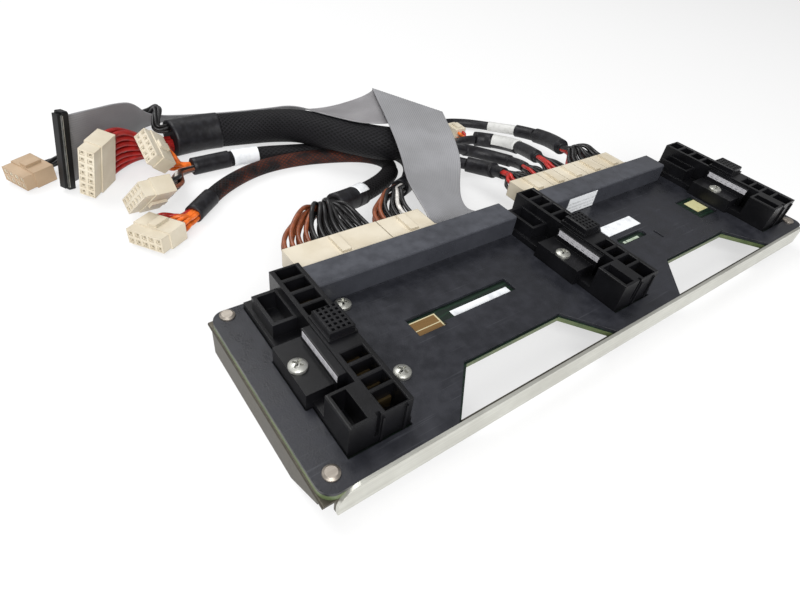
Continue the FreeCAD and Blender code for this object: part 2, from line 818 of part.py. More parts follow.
def at(x, y, z):
    """A point of the harness, measured from the middle connector's origin and the board's back edge."""
    return Vector(connector_x[1].value + x, back_y.value + y, z)


# Plugs at the far ends: cells, length, middle of the wire face, mating direction, up direction of the plug
FAR_PLUGS = {
    "plug_tall": (7, 22.0, (-154.5, 151.8, 16.3), (-0.66, -0.75, -0.01), (-0.73, 0.64, 0.23)),
    "plug_orange": (5, 14.0, (-125.3, 145.5, 13.6), (-0.70, -0.24, 0.67), (0.71, -0.25, 0.65)),
    "plug_mixed": (6, 17.6, (-137.7, 107.3, 12.9), (-0.96, -0.25, 0.14), (0.09, -0.72, -0.68)),
    "plug_front": (5, 17.8, (-143.6, 86.8, 5.4), (-0.83, -0.55, 0.04), (0.01, 0.05, 1.0)),
    "plug_peach": (4, 17.7, (-185.5, 172.0, 5.9), (-0.89, -0.45, -0.02), (0.01, -0.07, 1.0)),
    "plug_spare": (2, 13.0, (81.5, 110.0, 4.8), (0.0, 1.0, 0.0), (0.0, 0.0, 1.0)),
}


def axes(mating, up):
    """Unit vectors of a plug: along its cells, from mating end to wires, and up."""
    y = Vector(*mating) * -1
    y.normalize()
    x = y.cross(Vector(*up))
    x.normalize()
    return x, y, x.cross(y)


for label, (cells, length, middle, mating, up) in FAR_PLUGS.items():
    plug = make_plug(label, cells, dim(length), size("far_pitch"))
    x, y, z = axes(mating, up)
    turn = Rotation(x, y, z, "ZXY")
    plug.Placement = Placement(at(*middle) - z * (size("plug_height").value / 2), turn)
    plugs[label] = plug


# Cords: points of each route in millimetres, joined by straight runs and tangent arcs
def path_wire(label, points):
    """Join the points by straight runs, each corner rounded by a tangent arc."""
    edges = []
    radii = []
    last = points[0]
    for before, corner, after in zip(points, points[1:], points[2:]):
        back, ahead = before - corner, after - corner
        run = 0.45 * min(back.Length, ahead.Length)
        turn = math.pi - back.getAngle(ahead)
        radii.append(run / math.tan(turn / 2))
        back.normalize()
        ahead.normalize()
        enter, leave = corner + back * run, corner + ahead * run
        bisector = back + ahead
        bisector.normalize()
        centre_gap = math.hypot(run, radii[-1])
        middle = corner + bisector * (centre_gap - radii[-1])
        edges.append(Part.LineSegment(last, enter).toShape())
        edges.append(Part.Arc(enter, middle, leave).toShape())
        last = leave
    edges.append(Part.LineSegment(last, points[-1]).toShape())
    print(label, "smallest bend radius", round(min(radii), 1))
    return Part.Wire(edges)


def solid_node(label, shape):
    node = doc.addObject("Part::Feature", label)
    node.Label = label
    node.Shape = shape
    return node


def tube(label, points, diameter):
    """A round cord swept along its route."""
    wire = path_wire(label, points)
    ring = Part.Wire(Part.Circle(points[0], points[1] - points[0], diameter / 2).toShape())
    shape = wire.makePipeShell([ring], True, False)
    ratio = shape.Volume / (math.pi * diameter ** 2 / 4 * wire.Length)
    print(label, "length", round(wire.Length, 1), "volume ratio", round(ratio, 3))
    return solid_node(label, shape)


def route(points):
    return [at(*point) for point in points]


TRUNK = route([(25, 81.5, 19.8), (8, 89.5, 21.4), (-3, 96.5, 22), (-14, 110.5, 22), (-26, 125.5, 22),
               (-36, 147, 20), (-50, 163, 14.5), (-67, 172, 11.5), (-86, 176, 10.8), (-103, 176, 10.8),
               (-114, 174, 10.8)])
CORD_LEFT = route([(-66, 48.5, 19), (-53, 53.5, 16), (-33, 62.5, 12), (-13, 74.5, 8), (2, 87.5, 5.5),
                   (5, 101.5, 4.7), (-5, 112.5, 4.7), (-25, 120, 4.7), (-47, 125, 4.7), (-68, 125.5, 4.7),
                   (-86, 121, 4.7), (-104, 112, 4.7), (-119, 100, 4.7), (-129, 91, 5)])
CORD_INNER = route([(-21, 49.5, 17), (-8, 58.5, 12), (3, 70.5, 7.5), (14, 82.5, 4.9), (20, 94.5, 4.9),
                    (18, 107.5, 4.9), (7, 118.5, 4.9), (-7, 125.5, 4.9), (-23, 131, 4.9), (-37, 134.8, 4.9),
                    (-50, 138, 4.9), (-65, 141, 4.9), (-81, 141.5, 4.9), (-97, 141, 4.9),
                    (-111.5, 140.5, 5.1)])
BRANCHES = {
    "branch_first": (-1, -1, [(39, 68.5, 12.5), (45.5, 59.5, 13), (48, 48.5, 15.5), (47, 37.5, 19.5),
                              (46, 30.5, 21.5)]),
    "branch_second": (-1, 1, [(43, 73.5, 18.5), (57, 74.5, 14), (68, 65.5, 12.5), (73, 52.5, 14),
                              (71, 39.5, 18), (66, 31.5, 21)]),
    "branch_third": (1, 1, [(46, 82.5, 18), (61, 94.5, 9), (77, 102.5, 4.5), (92, 99.5, 4.5), (100, 85.5, 7),
                            (99, 67.5, 12), (92, 50.5, 17), (85, 36.5, 21)]),
    "branch_fourth": (1, -1, [(45, 89.5, 11), (54, 104.5, 7), (65, 120.5, 4.5), (81, 135.5, 3.6),
                              (101, 128.5, 3.6), (115, 109.5, 6), (123, 89.5, 10), (125, 69.5, 14),
                              (120, 52.5, 18), (113, 39.5, 21)]),
}
# The cord of the pale plug climbs over the flat cable's edge and runs on behind it
PEACH_LAY = route([(-120.5, 178, 26.3), (-119.8, 184.5, 28.3), (-126, 192.5, 23.5), (-136, 198.5, 17),
                   (-147, 195, 11), (-159, 187.3, 7), (-169, 180.7, 5.6)])

trunk_size = size("trunk_diameter").value
tube("trunk_sleeve", TRUNK, trunk_size)
tube("cord_left", CORD_LEFT, size("cord_left_diameter").value)
tube("cord_inner", CORD_INNER, size("cord_inner_diameter").value)


def end_frame(points):
    """Unit vectors at the first point of a route: outwards, sideways and up."""
    out = points[0] - points[1]
    out.normalize()
    side = Vector(0, 0, 1).cross(out)
    side.normalize()
    return out, side, out.cross(side)


# Straight run of a cord out of the sleeve before it bends
LEAD_OUT = 9
out, side, lift = end_frame(TRUNK)
spread = size("branch_offset").value
branch_ends = {}
for label, (across, above, lay) in BRANCHES.items():
    wide = size("branch_first_diameter" if label == "branch_first" else "branch_diameter").value
    start = TRUNK[0] + side * (spread * across) + lift * (spread * above)
    points = [start, start + out * LEAD_OUT] + route(lay)
    tube(label, points, wide)
    branch_ends[label] = (points[-2], points[-1], wide)
out, side, lift = end_frame(TRUNK[::-1])
margin = size("bundle_margin").value
peach_size, tall_size = size("peach_diameter").value, size("tall_bundle").value
peach_start = TRUNK[-1] + lift * ((trunk_size - peach_size) / 2 - margin)
peach_end = at(*FAR_PLUGS["plug_peach"][2])
peach_in = axes(*FAR_PLUGS["plug_peach"][3:])[1]
peach_ends = [peach_start, peach_start + out * LEAD_OUT], [peach_end + peach_in * LEAD_OUT, peach_end]
tube("cord_peach", peach_ends[0] + PEACH_LAY + peach_ends[1], peach_size)
tall_start = TRUNK[-1] - lift * ((trunk_size - tall_size) / 2 - 5 * margin)
inner_side = end_frame(CORD_INNER[::-1])[1]
inner_size = size("cord_inner_diameter").value
mixed_size, orange_size = size("mixed_bundle").value, size("orange_bundle").value
mixed_start = CORD_INNER[-1] + inner_side * (mixed_size / 2)
orange_start = CORD_INNER[-1] - inner_side * (orange_size / 2 + margin / 2)


# Fans: loose wires between a plug's wire face and the sleeve, as one tapering bundle each
def ring_of_four(centre, heading, diameter, across):
    """A circle of four arcs whose joints face the corners of the plug's wire face."""
    heading.normalize()
    across = across - heading * across.dot(heading)
    across.normalize()
    up = heading.cross(across)
    joints = [centre + (across * math.cos(a) + up * math.sin(a)) * (diameter / 2)
              for a in (math.radians(45 + 45 * step) for step in range(8))]
    arcs = [Part.Arc(joints[i], joints[i + 1], joints[(i + 2) % 8]).toShape() for i in (0, 2, 4, 6)]
    return Part.Wire(arcs)


def fan(label, middle, across, normal, wide, tall, ring_at, ring_heading, diameter):
    """Ruled bundle from a rectangle on a wire face to the round end of a sleeve."""
    up = normal.cross(across)
    corners = [middle + across * (wide / 2 * i) + up * (tall / 2 * j)
               for i, j in ((1, 1), (-1, 1), (-1, -1), (1, -1))]
    face = Part.makePolygon(corners + corners[:1])
    ring = ring_of_four(ring_at, ring_heading, diameter, across)
    return solid_node(label, Part.makeLoft([face, ring], True, True))


# The wires leave a plug in two rows, one wire to a cell
face_inset = (size("far_pitch") - size("wire_diameter")).value / 2
face_tall = (size("row_pitch") + size("wire_diameter")).value


def board_fan(label, first, last, ring_at, before, diameter):
    """Fan behind one or more neighbouring board plugs."""
    left = BOARD_PLUGS[first][1].value + face_inset
    right = (BOARD_PLUGS[last][1] + plug_width(BOARD_PLUGS[last][2], cell_pitch)).value - face_inset
    middle = Vector((left + right) / 2, plug_back.value, (plug_z + size("plug_height") / 2).value)
    fan(label, middle, Vector(-1, 0, 0), Vector(0, 1, 0), right - left, face_tall, ring_at, before - ring_at,
        diameter)


board_fan("fan_left_wide", 0, 0, CORD_LEFT[0], CORD_LEFT[1], size("cord_left_diameter").value)
board_fan("fan_left_narrow", 1, 1, CORD_INNER[0], CORD_INNER[1], inner_size)
for label, first, last in (("first", 2, 2), ("second", 3, 3), ("third", 4, 4), ("fourth", 5, 6)):
    before, ring_at, wide = branch_ends["branch_" + label]
    board_fan("fan_right_" + label, first, last, ring_at, before, wide)


def far_fan(label, plug, ring_at, heading, diameter):
    """Fan behind one plug at a far end."""
    cells, length, middle, mating, up = FAR_PLUGS[plug]
    x, y, z = axes(mating, up)
    wide = plug_width(cells, size("far_pitch")).value - 2 * face_inset
    fan(label, at(*middle), x * -1, y, wide, face_tall, ring_at, heading, diameter)


far_fan("fan_tall", "plug_tall", tall_start, TRUNK[-2] - TRUNK[-1], tall_size)
far_fan("fan_mixed", "plug_mixed", mixed_start, CORD_INNER[-2] - CORD_INNER[-1], mixed_size)
far_fan("cord_orange", "plug_orange", orange_start, CORD_INNER[-2] - CORD_INNER[-1], orange_size)
far_fan("fan_front", "plug_front", CORD_LEFT[-1], CORD_LEFT[-2] - CORD_LEFT[-1],
        size("cord_left_diameter").value)
SPARE_ROOT = at(82, 104, 4.6)
far_fan("fan_spare", "plug_spare", SPARE_ROOT, Vector(0.05, -1, 0), size("spare_bundle").value)

# Flat cable: it starts at the socket behind the hood and ends in a clamp that stands on the table
half_ribbon = size("ribbon_width").value / 2
half_thin = size("ribbon_thickness").value / 2
ribbon_x = (socket_left + socket_right) / 2
ribbon_z = board_top + size("ribbon_rise")
socket_back = back_y + size("socket_depth")
clamp_place = at(-175.5, 152.8, 22.4)
clamp_up = Vector(0.18, 0.09, 0.98)
clamp_up.normalize()
clamp_run = Vector(0.86, 0.46, 0)
clamp_run = clamp_run - clamp_up * clamp_run.dot(clamp_up)
clamp_run.normalize()
clamp_face = clamp_run.cross(clamp_up)
clamp_exit = clamp_place + clamp_run * (size("clamp_bar").value + size("socket_end").value)

# Middle, half width and upper side of each section along the run; the fold is a corner of two right angles
RIBBON = [(Vector(ribbon_x.value, socket_back.value, ribbon_z.value), Vector(1, 0, 0), Vector(0, 0, 1))]
for middle, across, up in (
        ((-14.6, 7.5, 21.8), (18.7, 0.6, -3.4), (0.15, -0.1, 1)),
        ((-16.8, 12.5, 23.8), (18.1, 1.8, -6.2), (0.3, -0.35, 1)),
        ((-15.5, 21.5, 26.5), (18.0, 0.2, -6.3), (0.3, -0.35, 1)),
        ((-11.5, 31.5, 29.3), (18.2, -2.4, -4.6), (0.2, -0.3, 1)),
        ((0, 48.5, 32.5), (18, -6, -1.4), (0, -0.3, 1)),
        ((8.5, 69.5, 37.5), (16.5, -9.5, 0), (0, -0.2, 1)),
        ((26, 111.5, 39.5), (0.425, -0.905, 0), (0, 0, 1)),
        ((27.4, 112.1, 38.1), (0.425, -0.905, 0), (0.905, 0.425, 0)),
        ((26, 111.5, 36.7), (0.425, -0.905, 0), (0, 0, -1)),
        ((-1, 122.5, 34), (-5.6, -18.0, 0.5), (0, 0, -1)),
        ((-18, 150, 25.5), (-10, -14.5, 7), (0.2, -0.5, -1)),
        ((-28.5, 171, 20.5), (-7.8, -14.8, 9), (0.1, -0.6, -1)),
        ((-41, 188.5, 13), (-5, -16, 8.5), (0, -0.6, -1)),
        ((-73, 202, 9.2), (0, -17, 7.5), (0, -0.45, -1)),
        ((-103, 203.5, 9.3), (0, -16.5, 8.7), (0, -0.5, -1)),
        ((-121.5, 197, 11.6), (0, -15.5, 11), (0, -0.7, -1)),
        ((-129.5, 187.5, 16.9), (0, -9.8, 16), (0, -1, -0.6)),
        ((-140, 181.5, 18.6), (1, -8, 17.2), (0.3, -1, -0.5)),
        ((-153, 171, 19.4), (1, -5, 18.2), (0.4, -1, -0.3)),
        ((-164, 161, 20.6), (2.5, -1, 18.8), (0.5, -0.85, 0))):
    RIBBON.append((at(*middle), Vector(*across), Vector(*up)))
RIBBON += [(clamp_exit, clamp_up, clamp_face), (clamp_place, clamp_up, clamp_face)]
FOLD = (7, 8, 9)
sections = []
for index, (middle, across, up) in enumerate(RIBBON):
    across = Vector(across)
    across.normalize()
    up = up - across * up.dot(across)
    up.normalize()
    across = across * (half_ribbon * (math.sqrt(2) if index in FOLD else 1))
    up = up * half_thin
    corners = [middle + across + up, middle - across + up, middle - across - up, middle + across - up]
    sections.append(Part.makePolygon(corners + corners[:1]))
solid_node("ribbon_cable", Part.makeLoft(sections, True, True))

# Flat cable's socket and the header that takes its nose
socket_top = ribbon_z + size("socket_height") / 2
socket_bottom = ribbon_z - size("socket_height") / 2
nose_half = socket_length / 2 - size("nose_inset")
nose_step, rim, slack = size("socket_step"), size("header_rim"), size("fit_clearance")
header_inner = back_y - size("header_depth") + size("header_back")
ribbon_header = new_body("header_ribbon")
along_y(ribbon_header, [rectangle(ribbon_x - nose_half - rim, ribbon_x + nose_half + rim, board_top,
                                  socket_top + rim)], back_y - size("header_depth"), back_y)
hollow_y(ribbon_header, [rectangle(ribbon_x - nose_half - slack, ribbon_x + nose_half + slack,
                                   socket_bottom + nose_step - slack, socket_top - nose_step + slack)],
         header_inner, back_y)
ribbon_socket = new_body("ribbon_socket")
along_y(ribbon_socket, [rectangle(socket_left, socket_right, socket_bottom, socket_top)], back_y, socket_back)
along_y(ribbon_socket, [rectangle(ribbon_x - nose_half, ribbon_x + nose_half, socket_bottom + nose_step,
                                  socket_top - nose_step)], header_inner + rim, back_y + nose_step)

# The far connector and the bar that the cable passes through
clamp_turn = Rotation(clamp_run, clamp_up.cross(clamp_run), clamp_up, "ZXY")


def clamp_piece(label, start, end, half_width, past):
    body = new_body(label)
    tall = size("ribbon_width") / 2 + past
    raise_up(body, [rectangle(start, end, -half_width, half_width)], -tall, tall)
    body.Placement = Placement(clamp_place, clamp_turn)
    return body


ribbon_connector = clamp_piece("ribbon_connector", -size("clamp_body"), dim(0), size("clamp_body_half"),
                               size("clamp_body_past"))
ribbon_bar = clamp_piece("ribbon_bar", dim(0), size("clamp_bar"), size("clamp_bar_half"),
                         size("clamp_bar_past"))
slot_half = size("clamp_slot") / 2
slot_tall = size("ribbon_width") / 2 + size("clamp_slot_past")
sink(ribbon_bar, [rectangle(-overrun, size("clamp_bar") + overrun, -slot_half, slot_half)],
     slot_tall, -slot_tall)
ribbon_pieces = [ribbon_header, ribbon_socket, ribbon_connector, ribbon_bar]

NODES = [item for item in doc.Objects if item.Label in (
    "steel_bracket", "front_rail", "circuit_board", "insulator_cover", "corner_rivets", "connector_screws",
    "power_contacts", "signal_contacts")]
NODES += housings + modules + headers + list(plugs.values()) + ribbon_pieces
NODES += [item for item in doc.Objects if item.TypeId == "Part::Feature"]
doc.recompute()
for item in doc.Objects:
    if "Invalid" in item.State or "Error" in item.State:
        raise RuntimeError("%s has state %s" % (item.Label, item.State))
os.makedirs("parts", exist_ok=True)
for item in NODES:
    if item.Shape.isNull() or not item.Shape.isValid():
        raise RuntimeError("%s has no valid shape" % item.Label)
    item.Shape.exportStep("parts/%s.step" % item.Label)
    print(item.Label, len(item.Shape.Solids), round(item.Shape.Volume, 1))
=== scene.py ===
import math
import random

import bmesh
import bpy
from mathutils import Matrix, Vector


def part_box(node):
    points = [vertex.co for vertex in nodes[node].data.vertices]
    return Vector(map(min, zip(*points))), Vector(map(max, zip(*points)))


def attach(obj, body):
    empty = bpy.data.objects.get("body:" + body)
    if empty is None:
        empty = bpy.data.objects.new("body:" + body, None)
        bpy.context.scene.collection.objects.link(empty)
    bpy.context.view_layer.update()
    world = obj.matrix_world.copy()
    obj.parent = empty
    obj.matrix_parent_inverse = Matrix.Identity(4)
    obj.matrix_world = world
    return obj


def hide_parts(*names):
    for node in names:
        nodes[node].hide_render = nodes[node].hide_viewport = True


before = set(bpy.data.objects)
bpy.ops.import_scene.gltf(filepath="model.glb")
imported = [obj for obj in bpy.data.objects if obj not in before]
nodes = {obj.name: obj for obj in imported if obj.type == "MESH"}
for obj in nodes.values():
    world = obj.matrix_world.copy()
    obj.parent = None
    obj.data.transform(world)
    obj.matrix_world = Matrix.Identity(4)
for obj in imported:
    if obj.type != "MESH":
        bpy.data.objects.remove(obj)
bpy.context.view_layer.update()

scene = bpy.context.scene
random.seed(11)
MM = 0.001
UP = Vector((0, 0, 1))

# Harness points are in millimetres from the middle connector and the board's back edge, as in the part
MIDDLE_CONNECTOR, BACK_EDGE = -18.9, 48.6


def at(x, y, z):
    return Vector((MIDDLE_CONNECTOR + x, BACK_EDGE + y, z))


def route(points):
    return [at(*point) for point in points]


# Routes of the cords: close to the part's own rods, with the trunk, the inner cord and the pale plug's lead
# moved
TRUNK = route([(25, 81.5, 19.8), (8, 89.5, 21), (-3, 95.5, 21), (-14, 107, 21), (-26, 120, 21.1),
               (-38, 139.5, 19.8), (-51, 156, 14.7), (-67, 166, 11.2), (-86, 170, 10.8), (-103, 170, 10.8),
               (-114, 168.5, 10.8)])
CORD_LEFT = route([(-66, 48.5, 19), (-53, 53.5, 16), (-33, 62.5, 12), (-13, 74.5, 8), (2, 87.5, 5.5),
                   (5, 101.5, 4.7), (-5, 112.5, 4.7), (-25, 120, 4.7), (-47, 125, 4.7), (-68, 125.5, 4.7),
                   (-86, 121, 4.7), (-104, 112, 4.7), (-119, 100, 4.7), (-129, 91, 5)])
CORD_INNER = route([(-21, 49.5, 17), (-8, 58.5, 12), (3, 70.5, 7.5), (14, 82.5, 4.9), (20, 94.5, 4.9),
                    (18, 107.5, 4.9), (7, 118.5, 4.9), (-7, 125.5, 4.9), (-23, 129.5, 4.9), (-37, 132.4, 4.9),
                    (-50, 135.8, 4.9), (-65, 140, 4.9), (-81, 141.5, 4.9), (-97, 141, 4.9),
                    (-111.5, 140.5, 5.1)])
# Each branch: its side and height in the end of the trunk, its diameter and its lay
BRANCHES = {
    "first": (-1, -1, 7.2, [(39, 68.5, 12.5), (45.5, 59.5, 13), (48, 48.5, 15.5), (47, 37.5, 19.5),
                            (46, 30.5, 21.5)]),
    "second": (-1, 1, 6.4, [(43, 73.5, 18.5), (57, 74.5, 14), (68, 65.5, 12.5), (73, 52.5, 14),
                            (71, 39.5, 18), (66, 31.5, 21)]),
    "third": (1, 1, 6.4, [(46, 82.5, 18), (61, 94.5, 9), (77, 102.5, 4.5), (92, 99.5, 4.5), (100, 85.5, 7),
                          (99, 67.5, 12), (92, 50.5, 17), (85, 36.5, 21)]),
    "fourth": (1, -1, 6.4, [(45, 89.5, 11), (54, 104.5, 7), (65, 120.5, 4.5), (81, 135.5, 3.6),
                            (101, 128.5, 3.6), (115, 109.5, 6), (123, 89.5, 10), (125, 69.5, 14),
                            (120, 52.5, 18), (113, 39.5, 21)]),
}
PEACH_LAY = route([(-118.5, 175, 23.5), (-114.5, 182.5, 26.2), (-117, 192, 20), (-128, 199, 13.5),
                   (-147, 195, 11), (-159, 187.3, 7), (-169, 180.7, 5.6)])
# Diameters of the cords
TRUNK_WIDE, LEFT_WIDE, INNER_WIDE, PEACH_WIDE = 21.0, 9.0, 9.4, 5.4
# A branch sits this far off the trunk's middle, and a cord runs straight on this far out of it
BRANCH_OFFSET, LEAD_OUT = 4.1, 9.0
# The pale plug's lead leaves the trunk above its middle, the tall plug's wires below it
PEACH_RISE, TALL_DROP = 7.5, 3.5
# Diameters of the bundles that wires make in a sleeve's end, and how far two of them lie beside its middle
TALL_BUNDLE, MIXED_BUNDLE, ORANGE_BUNDLE, SPARE_BUNDLE = 11.0, 4.7, 4.2, 4.0
MIXED_ASIDE, ORANGE_ASIDE = 2.35, 2.25
# The spare plug's wires leave the third branch here
SPARE_ROOT, SPARE_OUT = at(82, 104, 4.6), Vector((-0.05, 1, 0)).normalized()

# Plugs at the far ends: cells, length, middle of the wire face, mating direction, up direction
FAR_PLUGS = {
    "plug_tall": (7, 22, (-154.5, 151.8, 16.3), (-0.66, -0.75, -0.01), (-0.73, 0.64, 0.23)),
    "plug_orange": (5, 14, (-125.3, 145.5, 13.6), (-0.70, -0.24, 0.67), (0.71, -0.25, 0.65)),
    "plug_mixed": (6, 17.6, (-137.7, 107.3, 12.9), (-0.96, -0.25, 0.14), (0.09, -0.72, -0.68)),
    "plug_front": (5, 17.8, (-143.6, 86.8, 5.4), (-0.83, -0.55, 0.04), (0.01, 0.05, 1.0)),
    "plug_peach": (4, 17.7, (-185.5, 172.0, 5.9), (-0.89, -0.45, -0.02), (0.01, -0.07, 1.0)),
    "plug_spare": (2, 13, (81.5, 110.0, 4.8), (0.0, 1.0, 0.0), (0.0, 0.0, 1.0)),
}
CELL_PITCH, ROW_PITCH, PLUG_HEIGHT = 4.2, 4.2, 9.6
WIRE_WIDE = 2.3

# Flat cable
RIBBON_WIDE, RIBBON_THICK, RIBBON_WIRES = 38.1, 0.9, 30
# The reverse side is unwrapped this far beside the face
REVERSE = 2
# Middle of each section, and the direction across it
RIBBON = [
    ((-14.0, 3.6, 20.2), (1, 0, 0)),
    ((-14.6, 7.5, 21.8), (18.7, 0.6, -3.4)),
    ((-16.8, 12.5, 23.8), (18.1, 1.8, -6.2)),
    ((-15.5, 21.5, 26.5), (18.0, 0.2, -6.3)),
    ((-11.5, 31.5, 29.3), (18.2, -2.4, -4.6)),
    ((0, 48.5, 32.5), (18, -6, -1.4)),
    ((8.5, 69.5, 37.5), (16.5, -9.5, 0)),
    ((26, 111.5, 39.5), (0.425, -0.905, 0)),
    ((27.4, 112.1, 38.1), (0.425, -0.905, 0)),
    ((26, 111.5, 36.7), (0.425, -0.905, 0)),
    ((-3, 114.5, 34), (-5.6, -18.0, -1)),
    ((-20, 140, 26.8), (-10, -14.5, 5.8)),
    ((-30, 164.5, 20.6), (-7.8, -14.8, 9)),
    ((-43, 183.5, 12.8), (-5, -16, 8.5)),
    ((-73, 197.8, 9.2), (0, -17, 7.5)),
    ((-103, 200.5, 9.3), (0, -16.5, 8.7)),
    ((-121.5, 196, 11.6), (0, -15.5, 11)),
    ((-129.5, 187.5, 16.9), (0, -9.8, 16)),
    ((-140, 181.5, 18.6), (1, -8, 17.2)),
    ((-153, 171, 19.4), (1, -5, 18.2)),
    ((-164, 161, 20.6), (2.5, -1, 18.8)),
]
# Sections of the fold, which run slantwise and are wider by so much
FOLD, SLANT = (7, 8, 9), math.sqrt(2)
# Clamp at the far end: its place, its directions up and along the cable, and the straight run out of it
CLAMP_PLACE, CLAMP_UP, CLAMP_RUN = (-175.5, 152.8, 22.4), (0.18, 0.09, 0.98), (0.86, 0.46, 0)
CLAMP_EXIT = 4.9


# Node writing
class Term:
    """One socket of a node tree, so that sums on it are written as Python."""

    def __init__(self, tree, socket):
        self.tree = tree
        self.socket = socket

    def combine(self, operation, left, right):
        node = self.tree.node("ShaderNodeMath", {"operation": operation}, {0: left, 1: right})
        return Term(self.tree, node.outputs[0])

    def __add__(self, other):
        return self.combine("ADD", self, other)

    __radd__ = __add__

    def __sub__(self, other):
        return self.combine("SUBTRACT", self, other)

    def __rsub__(self, other):
        return self.combine("SUBTRACT", other, self)

    def __mul__(self, other):
        return self.combine("MULTIPLY", self, other)

    __rmul__ = __mul__

    def __truediv__(self, other):
        return self.combine("DIVIDE", self, other)

    def largest(self, other):
        return self.combine("MAXIMUM", self, other)

    def above(self, other):
        return self.combine("GREATER_THAN", self, other)

    def sine(self):
        return self.combine("SINE", self, 0.0)

    def wave(self, period):
        """Rises and falls between 0 and 1 once in each period."""
        return (self * (2 * math.pi / period)).sine() * 0.5 + 0.5

    def within(self, low, high):
        """1 between two values, 0 outside them."""
        return self.above(low) * (1 - self.above(high))


class Tree:
    """A node tree under construction."""

    def __init__(self, tree):
        self.tree = tree

    def node(self, kind, settings, inputs):
        """Add a node, set what it is, then give its sockets their values or links."""
        made = self.tree.nodes.new(kind)
        for key, value in settings.items():
            setattr(made, key, value)
        for key, value in inputs.items():
            for item in value if isinstance(value, list) else [value]:
                if isinstance(item, Term):
                    self.tree.links.new(item.socket, made.inputs[key])
                else:
                    made.inputs[key].default_value = item
        return made

    def term(self, kind, settings, inputs, output=0):
        return Term(self, self.node(kind, settings, inputs).outputs[output])


class Finish(Tree):
    """A material under construction."""

    def __init__(self, name):
        self.material = bpy.data.materials.new(name)
        self.material.use_nodes = True
        super().__init__(self.material.node_tree)
        self.shader = self.tree.nodes["Principled BSDF"]

    def place(self):
        return self.term("ShaderNodeTexCoord", {}, {}, "Object")

    def unwrapped(self):
        return self.term("ShaderNodeTexCoord", {}, {}, "UV")

    def axes(self, vector):
        split = self.node("ShaderNodeSeparateXYZ", {}, {0: vector})
        return [Term(self, split.outputs[i]) for i in range(3)]

    def noise(self, vector, scale, detail=3.0):
        return self.term("ShaderNodeTexNoise", {}, {"Vector": vector, "Scale": scale, "Detail": detail})

    def stretch(self, vector, scale):
        return self.term("ShaderNodeMapping", {}, {"Vector": vector, "Scale": scale})

    def mix(self, factor, first, second):
        return self.term("ShaderNodeMix", {"data_type": "RGBA"}, {0: factor, 6: first, 7: second}, 2)

    def between(self, value, low, high):
        return self.term("ShaderNodeMapRange", {"interpolation_type": "SMOOTHSTEP"},
                         {"Value": value, "From Min": low, "From Max": high})

    def bump(self, height, distance, rounding=0.0):
        """Surface relief, on edges that are rounded by a small radius where one is given."""
        inputs = {"Height": height, "Distance": distance, "Strength": 1.0}
        if rounding:
            inputs["Normal"] = self.term("ShaderNodeBevel", {"samples": 4}, {"Radius": rounding})
        return self.term("ShaderNodeBump", {}, inputs)

    def set(self, **sockets):
        for name, value in sockets.items():
            socket = self.shader.inputs[name.replace("_", " ")]
            if isinstance(value, Term):
                self.tree.links.new(value.socket, socket)
            else:
                socket.default_value = value
        return self.material


def colour(red, green, blue):
    """A colour as it looks on a screen, 0 to 255, as the renderer's own numbers."""
    def straight(value):
        value = value / 255
        return value / 12.92 if value <= 0.04045 else ((value + 0.055) / 1.055) ** 2.4
    return (straight(red), straight(green), straight(blue), 1.0)


def darkened(tone, share):
    return tuple(part * share for part in tone[:3]) + (1.0,)


# Finishes. Noise scales count grains in a metre; heights, pitches and relief are in metres
# Heights above which the cover's top and the hood's top are painted lighter, as painted sheen
COVER_SHEEN_HEIGHT, HOOD_SHEEN_HEIGHT = 0.0184, 0.0292
# Gold field in the board's long window, and the same within its rim: spans along X and Y
GOLD_X, GOLD_Y = (-0.1027, -0.0876), (-0.0042, 0.0048)
INNER_GOLD_X, INNER_GOLD_Y = (-0.1019, -0.0884), (-0.0036, 0.0042)
# The pale line across it, and the pitch of the traces
GOLD_LINE_Y = (-0.0009, -0.0004)
TRACK_PITCH = 0.0031
# Distance along a braid at which the colour between its strands turns
GAP_TURN = (0.085, 0.115)


def moulded_plastic(name, base, lighter, roughness, grain, rounding=0.00025):
    """Moulded plastic with a fine eroded surface, faint flow marks and slightly rounded edges."""
    finish = Finish(name)
    place = finish.place()
    cloud = finish.noise(place, 60.0, 4.0)
    fine = finish.noise(place, 2600.0, 2.0)
    tint = finish.mix(finish.between(cloud, 0.35, 0.7), base, lighter)
    return finish.set(Base_Color=tint, Roughness=roughness + cloud * 0.12 - 0.06, Specular_IOR_Level=0.32,
                      Normal=finish.bump(fine, 0.00004 * grain, rounding))


def cover_sheet(name):
    """The insulating cover: satin black with a leathery grain, fine rubbed scratches and dusty mottling, and
    painted sheen that lightens it above set heights, most on the hood's top.
    """
    finish = Finish(name)
    place = finish.place()
    height = finish.axes(place)[2]
    cloud = finish.noise(place, 35.0, 5.0)
    mottle = finish.noise(place, 170.0, 4.0)
    grain = finish.noise(place, 1500.0, 3.0)
    scratch = finish.noise(finish.stretch(place, (25.0, 1400.0, 400.0)), 1.0, 3.0)
    rubbed = finish.between(scratch, 0.6, 0.76) * finish.between(cloud, 0.4, 0.7)
    dust_and_sheen = finish.between(cloud * 0.5 + mottle * 0.5, 0.36, 0.68)
    tint = finish.mix(dust_and_sheen, colour(31, 32, 37), colour(43, 44, 50))
    # Painted sheen: lighter above the first height and more on the hood's top, mottled there by the dust
    # noise
    top = height.above(COVER_SHEEN_HEIGHT) * 0.35 + height.above(HOOD_SHEEN_HEIGHT) * (0.1 + dust_and_sheen * 0.4)
    tint_with_painted_sheen = finish.mix(top, tint, colour(80, 82, 89))
    scuffed = finish.mix(rubbed * 0.4, tint_with_painted_sheen, colour(98, 100, 106))
    return finish.set(Base_Color=scuffed, Specular_IOR_Level=0.4, Roughness=dust_and_sheen * 0.22 + 0.26,
                      Normal=finish.bump(grain, 0.00005, 0.0004))


